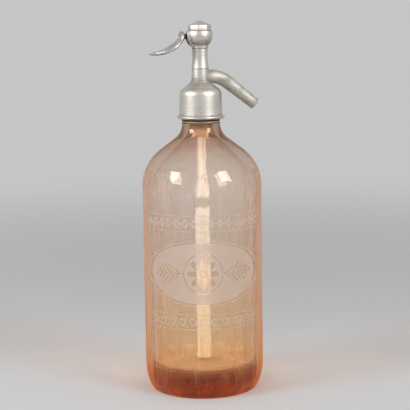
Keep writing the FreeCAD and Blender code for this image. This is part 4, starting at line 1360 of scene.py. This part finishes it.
@dataclass
class LeverHousing:
    """The ball that holds the lever, with a slotted boss towards the lever."""

    foot: float = 288.77
    foot_radius: float = 6.95
    foot_chamfer: float = 0.25
    ball_radius: float = 10.85
    centre: float = 299.9
    seat: float = 303.4
    chamber: float = 8.4
    chamber_floor: float = 296.5
    bore: float = 5.55
    bore_top: float = 292.5
    boss_radius: float = 11.6
    boss_centre: float = 299.4
    boss_half_width: float = 4.2
    boss_foot: float = 290.6
    boss_inner: float = -2.0
    boss_edge: float = 0.7
    slot_half_width: float = 2.3
    slot_inner: float = -4.6
    slot_top: float = 301.3
    slot_sill: float = 1.6
    slot_drop: float = 5.2
    slot_overrun: float = 2.0
    sides: int = 128

    def boss(self) -> bpy.types.Object:
        """The raised boss round the slot, cut from a disc that stands on its edge.

        Returns:
            The boss, as a mesh of its own.
        """
        piece = primitive(
            "boss", bpy.ops.mesh.primitive_cylinder_add, vertices=self.sides, radius=self.boss_radius * MM,
            depth=2 * self.boss_half_width * MM, location=(0.0, 0.0, self.boss_centre * MM),
            rotation=(math.pi / 2, 0.0, 0.0))
        bpy.ops.object.mode_set(mode="EDIT")
        for place, away in (
                (Vector((0.0, 0.0, self.seat)), (0.0, 0.0, 1.0)),
                (Vector((0.0, 0.0, self.boss_foot)), (0.0, 0.0, -1.0)),
                (Vector((self.boss_inner, 0.0, 0.0)), (1.0, 0.0, 0.0))):
            bpy.ops.mesh.select_all(action="SELECT")
            bpy.ops.mesh.bisect(plane_co=place * MM, plane_no=away, use_fill=True, clear_outer=True)
        bpy.ops.object.mode_set(mode="OBJECT")
        modify(piece, "BEVEL", width=self.boss_edge * MM, segments=3, limit_method="ANGLE",
               angle_limit=math.radians(50.0))
        return piece

    def slot(self) -> bpy.types.Object:
        """The slot that the lever moves in, lower at the outside.

        Returns:
            The slot, as a mesh to cut with.
        """
        low = Vector((-self.boss_radius - self.slot_overrun, -self.slot_half_width,
                      self.chamber_floor - self.slot_sill))
        high = Vector((self.slot_inner, self.slot_half_width, self.slot_top))
        piece = primitive("slot", bpy.ops.mesh.primitive_cube_add, size=1.0,
                          location=(low + high) * MM / 2, scale=(high - low) * MM)
        for vertex in piece.data.vertices:
            if vertex.co.z < self.chamber_floor * MM and vertex.co.x < -self.boss_radius * MM:
                vertex.co.z -= (self.slot_drop - self.slot_sill) * MM
        return piece

    def build(self) -> None:
        """Turns the ball with its chamber, adds the boss and cuts the slot."""
        bench = Bench("lever_housing_ball")
        bench.begin(self.foot_radius - self.foot_chamfer, self.foot)
        low = math.degrees(math.acos(self.foot_radius / self.ball_radius))
        high = math.degrees(math.asin((self.seat - self.centre) / self.ball_radius))
        bench.line((self.foot_radius, self.foot + self.foot_chamfer),
                   (self.foot_radius, self.centre - self.ball_radius * math.sin(math.radians(low))))
        bench.arc((0.0, self.centre), low + high, chord=0.45)
        bench.line(
            (self.chamber, self.seat), (self.chamber, self.chamber_floor), (self.bore, self.bore_top),
            (self.bore, self.foot), (self.foot_radius - self.foot_chamfer, self.foot))
        piece = bench.turned(self.sides)
        combine(piece, self.boss(), "UNION")
        combine(piece, self.slot(), "DIFFERENCE")
        soften(32.0)
        settle(piece, "head", "lever_housing", Metal.TIN.material())


@dataclass
class HousingCap:
    """The eight-sided cap on the housing, with a low point."""

    radius: float = 9.7
    corners: int = 8
    first_corner: float = 249.0
    base: float = 303.4
    shoulder: float = 308.3
    apex: float = 312.2
    edge_round: float = 0.45

    def build(self) -> None:
        """Raises the middle of a prism's top to a point, and rounds its edges."""
        depth = self.shoulder - self.base
        piece = primitive(
            "housing_cap_turned", bpy.ops.mesh.primitive_cylinder_add, vertices=self.corners,
            radius=self.radius * MM, depth=depth * MM, location=(0.0, 0.0, (self.base + depth / 2) * MM),
            rotation=(0.0, 0.0, math.radians(self.first_corner - 90.0)))
        bpy.ops.object.mode_set(mode="EDIT")
        choose(piece, lambda p: p.z > self.base + depth / 2)
        bpy.ops.mesh.poke()
        choose(piece, lambda p: p.z > self.base and p.xy.length < self.radius / 2)
        bpy.ops.transform.translate(value=(0.0, 0.0, (self.apex - self.shoulder) * MM))
        bpy.ops.object.mode_set(mode="OBJECT")
        modify(piece, "BEVEL", width=self.edge_round * MM, segments=4, limit_method="ANGLE",
               angle_limit=math.radians(15.0))
        soften(32.0)
        settle(piece, "head", "housing_cap", Metal.TIN.material())


# ------------------------------------------------------------------ spout
@dataclass
class Spout:
    """The bent spout, a tapering tube that falls away from the neck."""

    root: float = 5.0
    axis_height: float = 265.5
    corner: float = 16.9
    bend: float = 24.0
    fall: float = 38.5
    run: float = 39.1
    root_radius: float = 5.0
    middle_radius: float = 5.6
    tip_radius: float = 4.95
    tip_length: float = 6.5
    bore: float = 3.1
    bore_depth: float = 14.0
    rim_round: float = 0.4
    sides: int = 64
    bend_steps: int = 14
    run_steps: int = 8

    def scale_ring(self, ratio: float, middle: Vector) -> None:
        """Makes the selected ring larger or smaller about its middle, in millimetres."""
        bpy.ops.transform.resize(value=(ratio, ratio, ratio), center_override=tuple(middle * MM))

    def bent(self) -> Vector:
        """Extrudes the ring level from the neck and bends it down.

        Returns:
            Where the straight run starts.
        """
        level = self.corner - self.bend * math.tan(math.radians(self.fall / 2)) - self.root
        extrude(Vector((level, 0.0, 0.0)))
        here = Vector((self.root + level, 0.0, self.axis_height))
        self.scale_ring(self.middle_radius / self.root_radius, here)
        centre = here - Vector((0.0, 0.0, self.bend))
        step = math.radians(self.fall / self.bend_steps)
        for _ in range(self.bend_steps):
            bpy.ops.mesh.spin(steps=1, angle=-step, axis=(0.0, 1.0, 0.0), center=tuple(centre * MM))
        turn = math.radians(self.fall)
        return centre + Vector((math.sin(turn), 0.0, math.cos(turn))) * self.bend

    def build(self) -> None:
        """Extrudes and bends a ring along the spout, and hollows its open end."""
        piece = primitive(
            "spout_tube", bpy.ops.mesh.primitive_circle_add, vertices=self.sides,
            radius=self.root_radius * MM, fill_type="NGON",
            location=(self.root * MM, 0.0, self.axis_height * MM), rotation=(0.0, math.pi / 2, 0.0))
        bpy.ops.object.mode_set(mode="EDIT")
        bpy.ops.mesh.select_all(action="SELECT")
        here = self.bent()
        turn = math.radians(self.fall)
        ahead = falling(turn)
        length = self.run - self.bend * math.tan(turn / 2) - self.tip_length
        radius = self.middle_radius
        for index in range(self.run_steps):
            extrude(ahead * (length / self.run_steps))
            here = here + ahead * (length / self.run_steps)
            share = (index + 1) / self.run_steps
            wanted = self.middle_radius + (self.tip_radius - self.middle_radius) * share
            self.scale_ring(wanted / radius, here)
            radius = wanted
        extrude(ahead * (self.tip_length - self.rim_round))
        extrude(ahead * self.rim_round)
        self.scale_ring(1.0 - self.rim_round / self.tip_radius, here + ahead * self.tip_length)
        bpy.ops.mesh.inset(thickness=(self.tip_radius - self.rim_round - self.bore) * MM)
        extrude(ahead * -self.bore_depth)
        merge()
        complete(50.0)
        settle(piece, "head", "spout", Metal.SPOUT.material())


# ------------------------------------------------------------------ lever
@dataclass
class Thumbpiece:
    """The cast thumbpiece: a hollow leaf with a round back that bends away from the ball."""

    offset: float = -15.4
    top: float = 303.4
    bend_start: float = 300.5
    first_bend: float = 9.3
    second_bend: float = 30.2
    split: float = 45.0
    tip_length: float = 4.1
    top_half_width: float = 7.0
    widest_half_width: float = 12.0
    tip_half_width: float = 4.6
    least_half_width: float = 0.3
    widest: float = 10.5
    back_start: float = 0.2
    back_rise: float = 1.9
    rim_height: float = 1.6
    rim_width: float = 1.4
    groove_height: float = 0.8
    groove_rise: float = 0.1
    groove_slope: float = 0.8
    tip_thickness: float = 0.62
    edge_thickness: float = 0.25
    end_round: float = 2.2
    end_shares: tuple[float, ...] = (0.03, 0.12, 0.3, 0.6, 1.0)
    step: float = 0.9

    def stations(self, total: float) -> list[float]:
        """Lengths along the leaf at which its section is placed, closer at both ends.

        Args:
            total: the leaf's length.

        Returns:
            The lengths.
        """
        count = math.ceil(total / self.step)
        ends = [self.end_round * share for share in self.end_shares]
        middle = [total * index / count for index in range(count)]
        last = total - self.end_round - self.step / 2
        return [*ends, *(along for along in middle if self.end_round < along < last),
                *(total - end for end in reversed(ends))]

    def path(self) -> list[tuple[Vector, float]]:
        """Places along the middle of the leaf.

        Returns:
            For each station its place and the radians that the leaf has turned from upright.
        """
        turn = math.radians(self.split)
        first = turn * self.first_bend
        second = math.radians(90.0 - self.split) * self.second_bend
        upright = self.top - self.bend_start
        centre = Vector((self.offset - self.first_bend, 0.0, self.bend_start))
        far_centre = centre + falling(turn) * (self.first_bend - self.second_bend)
        places = []
        for along in self.stations(upright + first + second + self.tip_length):
            if along <= upright:
                turned = 0.0
                place = Vector((self.offset, 0.0, self.top - along))
            elif along <= upright + first:
                turned = (along - upright) / self.first_bend
                place = centre + falling(turned) * self.first_bend
            elif along <= upright + first + second:
                turned = turn + (along - upright - first) / self.second_bend
                place = far_centre + falling(turned) * self.second_bend
            else:
                turned = math.pi / 2
                place = far_centre - Vector((along - upright - first - second, 0.0, self.second_bend))
            places.append((place, turned))
        return places

    def half_width(self, place: Vector, tip: Vector) -> float:
        """Half the leaf's width at a place on its middle, in millimetres.

        Args:
            place: the place.
            tip: the leaf's far end.

        Returns:
            Half the width, from the three widths along the chord and the two round ends.
        """
        upper = Vector((self.offset, 0.0, self.top - self.top_half_width))
        lower = tip + Vector((self.tip_half_width, 0.0, 0.0))
        length = (lower - upper).length
        along = max(min((place - upper).dot(lower - upper) / length, length), 0.0)
        wide = self.widest
        width = (self.top_half_width * (along - wide) * (along - length) / (wide * length)
                 + self.widest_half_width * along * (along - length) / (wide * (wide - length))
                 + self.tip_half_width * along * (along - wide) / (length * (length - wide)))
        for past, end in (
                (place.z - upper.z, self.top_half_width), (lower.x - place.x, self.tip_half_width)):
            if past > 0.0:
                width = end * math.sqrt(max(1.0 - (past / end) ** 2, 0.0))
        return max(width, self.least_half_width)

    def section(self) -> Bench:
        """Draws the section at the leaf's widest place, standing on the origin.

        Returns:
            The bench with the section, filled and selected.
        """
        bench = Bench("lever_thumbpiece_cast")
        side = self.widest_half_width
        inner = side - self.rim_width
        bench.begin(self.back_start, -side)
        curve, sweep = shallow(side, self.back_rise)
        bench.arc((self.back_start + self.back_rise - curve, 0.0), 2 * sweep, chord=1.5)
        bench.line(
            (-self.rim_height, side), (-self.rim_height, inner),
            (-self.groove_height, inner - self.groove_slope), (self.groove_rise - self.groove_height, 0.0),
            (-self.groove_height, self.groove_slope - inner), (-self.rim_height, -inner),
            (-self.rim_height, -side), (self.back_start, -side))
        merge()
        bpy.ops.mesh.edge_face_add()
        turn_about(-math.pi / 2, "X")
        return bench

    def thin(self, bench: Bench, middle: Vector, share: float, out: Vector) -> None:
        """Scales the selected section through the leaf.

        Args:
            bench: the bench with the leaf.
            middle: middle of the section, in millimetres.
            share: change of its thickness.
            out: direction through the leaf.
        """
        mesh = bmesh.from_edit_mesh(bench.piece.data)
        for vertex in mesh.verts:
            if vertex.select:
                vertex.co += out * (vertex.co - middle * MM).dot(out) * (share - 1.0)
        bmesh.update_edit_mesh(bench.piece.data)

    def build(self) -> None:
        """Extrudes the section along the leaf, narrower and thinner towards both ends."""
        bench = self.section()
        places = self.path()
        tip = places[-1][0]
        before, turned_before, width, thick = Vector(MIDDLE), 0.0, self.widest_half_width, 1.0
        for index, (place, turned) in enumerate(places):
            if index:
                extrude(place - before)
            else:
                bpy.ops.transform.translate(value=tuple((place - before) * MM))
            if turned != turned_before:
                turn_about(turned - turned_before, "Y", place * MM)
            wanted = self.half_width(place, tip)
            fade = index / (len(places) - 1)
            wanted_thick = 1.0 - (1.0 - self.tip_thickness) * max(2.0 * fade - 1.0, 0.0)
            edge = self.edge_thickness + wanted / self.tip_half_width * (1.0 - self.edge_thickness)
            wanted_thick *= min(1.0, edge)
            bpy.ops.transform.resize(value=(1.0, wanted / width, 1.0), center_override=tuple(place * MM))
            self.thin(bench, place, wanted_thick / thick, falling(turned))
            before, turned_before, width, thick = place, turned, wanted, wanted_thick
        piece = bench.done()
        modify(piece, "SUBSURF", levels=2, render_levels=2)
        soften(60.0)
        settle(piece, "lever", "lever_thumbpiece", Metal.LEVER.material())


# ------------------------------------------------------------------ inner pieces
class InnerPieces:
    """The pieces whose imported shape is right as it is: they only get their finish."""

    def build(self) -> None:
        """Dresses each node, and gives the spring a mesh of its own."""
        pin, collar, brass = (metal.material() for metal in (Metal.PIN, Metal.COLLAR, Metal.BRASS))
        rubber = SoftFinish("rubber_seal", (0.30, 0.17, 0.12), (0.46, 0.32, 0.25)).build()
        sleeve = SoftFinish("sleeve_rubber", (0.50, 0.42, 0.35), (0.64, 0.55, 0.46)).build()
        leather = SoftFinish("leather_seal", (0.20, 0.11, 0.05), (0.34, 0.22, 0.12), 0.7, 0.06).build()
        finishes = {
            "neck_gasket": rubber, "valve_rubber": rubber, "tube_sleeve": sleeve,
            "packing_washers": leather, "collar_half_front": collar, "collar_half_back": collar,
            "locking_pin": pin, "lever_pin": pin, "lever_tongue": Metal.STEEL.material(),
            "spring": Metal.SPRING.material(), "valve_rod": brass, "rod_button": brass,
            "valve_cup": brass, "valve_nut": brass, "gland_nut": brass, "spring_washer": brass,
            "tube_nut": brass}
        for node, material in finishes.items():
            dress(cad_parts[node], material)
            log.info("%s keeps its packed shape, in %s", node, material.name)
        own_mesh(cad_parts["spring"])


# ------------------------------------------------------------------ studio
@dataclass(frozen=True)
class Softbox:
    """A soft light that faces the siphon.

    Attributes:
        name: the light's name.
        aside: degrees round from the camera, and positive is to its right.
        width: of the light.
        height: of the light.
        power: in watts.
    """

    name: str
    aside: float
    width: float
    height: float
    power: float


@dataclass
class Studio:
    """A pale floor under two soft lights, and the camera."""

    azimuth: float = -15.0
    distance: float = 1100.0
    camera_height: float = 320.8
    pitch: float = 8.48
    aside: float = 0.12
    roll: float = 0.85
    lens: float = 115.1
    floor_radius: float = 9000.0
    floor_colour: Colour = (0.60, 0.60, 0.605)
    floor_shade: float = 0.97
    floor_near: float = 220.0
    floor_far: float = 1500.0
    backdrop: Colour = (0.56, 0.56, 0.565)
    fill: Colour = (0.38, 0.38, 0.385)
    lights: tuple[Softbox, ...] = (
        Softbox("left_softbox", -60.0, 480.0, 480.0, 11.0),
        Softbox("right_softbox", 48.0, 420.0, 620.0, 10.0))
    light_distance: float = 1300.0
    light_elevation: float = 27.0
    light_target: float = 190.0

    def floor(self) -> None:
        """Lays the floor, which fades into the backdrop."""
        piece = primitive("floor", bpy.ops.mesh.primitive_circle_add, vertices=96,
                          radius=self.floor_radius * MM, fill_type="NGON")
        graph = Graph.of("floor_paper")
        shade = tuple(part * self.floor_shade for part in self.floor_colour)
        tone = graph.blend(graph.noise(300.0, 2.0), self.floor_colour, shade)
        near = graph.node("BsdfPrincipled", None, {"Base Color": tone, "Roughness": 0.8})
        far = graph.node("Emission", None, {"Color": self.backdrop, "Strength": 1.0})
        east, north, _ = graph.here()
        away = graph.span(east, north) - self.floor_near
        share = ease(graph.maths("DIVIDE", away, self.floor_far - self.floor_near, clamp=True))
        paper = graph.node("MixShader", None, {0: share * graph.seen(), 1: near, 2: far})
        dress(piece, graph.finish(paper))

    def light(self, box: Softbox) -> None:
        """Adds a soft light.

        Args:
            box: the light.
        """
        turn, up = math.radians(self.azimuth + box.aside), math.radians(self.light_elevation)
        away = Vector((math.sin(turn) * math.cos(up), -math.cos(turn) * math.cos(up), math.sin(up)))
        place = away * self.light_distance + Vector((0.0, 0.0, self.light_target))
        bpy.ops.object.light_add(type="AREA", location=place * MM)
        lamp = bpy.context.object
        lamp.name = box.name
        lamp.rotation_euler = (-away).to_track_quat("-Z", "Y").to_euler()
        lamp.data.shape = "RECTANGLE"
        lamp.data.size, lamp.data.size_y = box.width * MM, box.height * MM
        lamp.data.energy = box.power

    def world(self) -> None:
        """Fills the room with even light, and shows a pale backdrop."""
        bpy.context.scene.world = bpy.data.worlds.new("studio")
        graph = Graph(bpy.context.scene.world, "OutputWorld")
        fill, backdrop = (
            graph.node("Background", None, {"Color": colour}) for colour in (self.fill, self.backdrop))
        graph.finish(graph.node("MixShader", None, {0: graph.seen(), 1: fill, 2: backdrop}))

    def camera(self) -> None:
        """Sets the camera where the siphon is seen from the front and a little above."""
        turn, down = math.radians(self.azimuth), math.radians(self.pitch)
        level = Vector((-math.sin(turn), math.cos(turn), 0.0))
        right = Vector((math.cos(turn), math.sin(turn), 0.0))
        ahead = level * math.cos(down) - Vector((0.0, 0.0, math.sin(down)))
        ahead = (ahead + right * math.tan(math.radians(self.aside))).normalized()
        right = ahead.cross(Vector((0.0, 0.0, 1.0))).normalized()
        up = right.cross(ahead)
        roll = Matrix.Rotation(math.radians(self.roll), 3, ahead)
        right.rotate(roll)
        up.rotate(roll)
        data = bpy.data.cameras.new("camera")
        data.lens = self.lens
        data.clip_start, data.clip_end = 0.05, 50.0
        camera = bpy.data.objects.new("camera", data)
        bpy.context.scene.collection.objects.link(camera)
        place = -level * self.distance + Vector((0.0, 0.0, self.camera_height))
        turned = Matrix((right, up, -ahead)).transposed().to_4x4()
        camera.matrix_world = Matrix.Translation(place * MM) @ turned
        bpy.context.scene.camera = camera

    def build(self) -> None:
        """Sets up the floor, the lights, the world and the camera."""
        self.floor()
        for box in self.lights:
            self.light(box)
        self.world()
        self.camera()
        scene = bpy.context.scene
        scene.view_settings.view_transform = "Standard"
        scene.cycles.max_bounces = 24
        scene.cycles.transmission_bounces = 20
        log.info("studio ready")


def main() -> None:
    """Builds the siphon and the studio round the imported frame."""
    logging.basicConfig(level=logging.INFO, format="%(name)s: %(message)s")
    Studio().build()
    for part in (Bottle(), DipTube(), HeadCasting(), Column(), LeverHousing(), HousingCap(), Spout(),
                 Thumbpiece(), InnerPieces()):
        part.build()


if __name__ == "__main__":
    main()
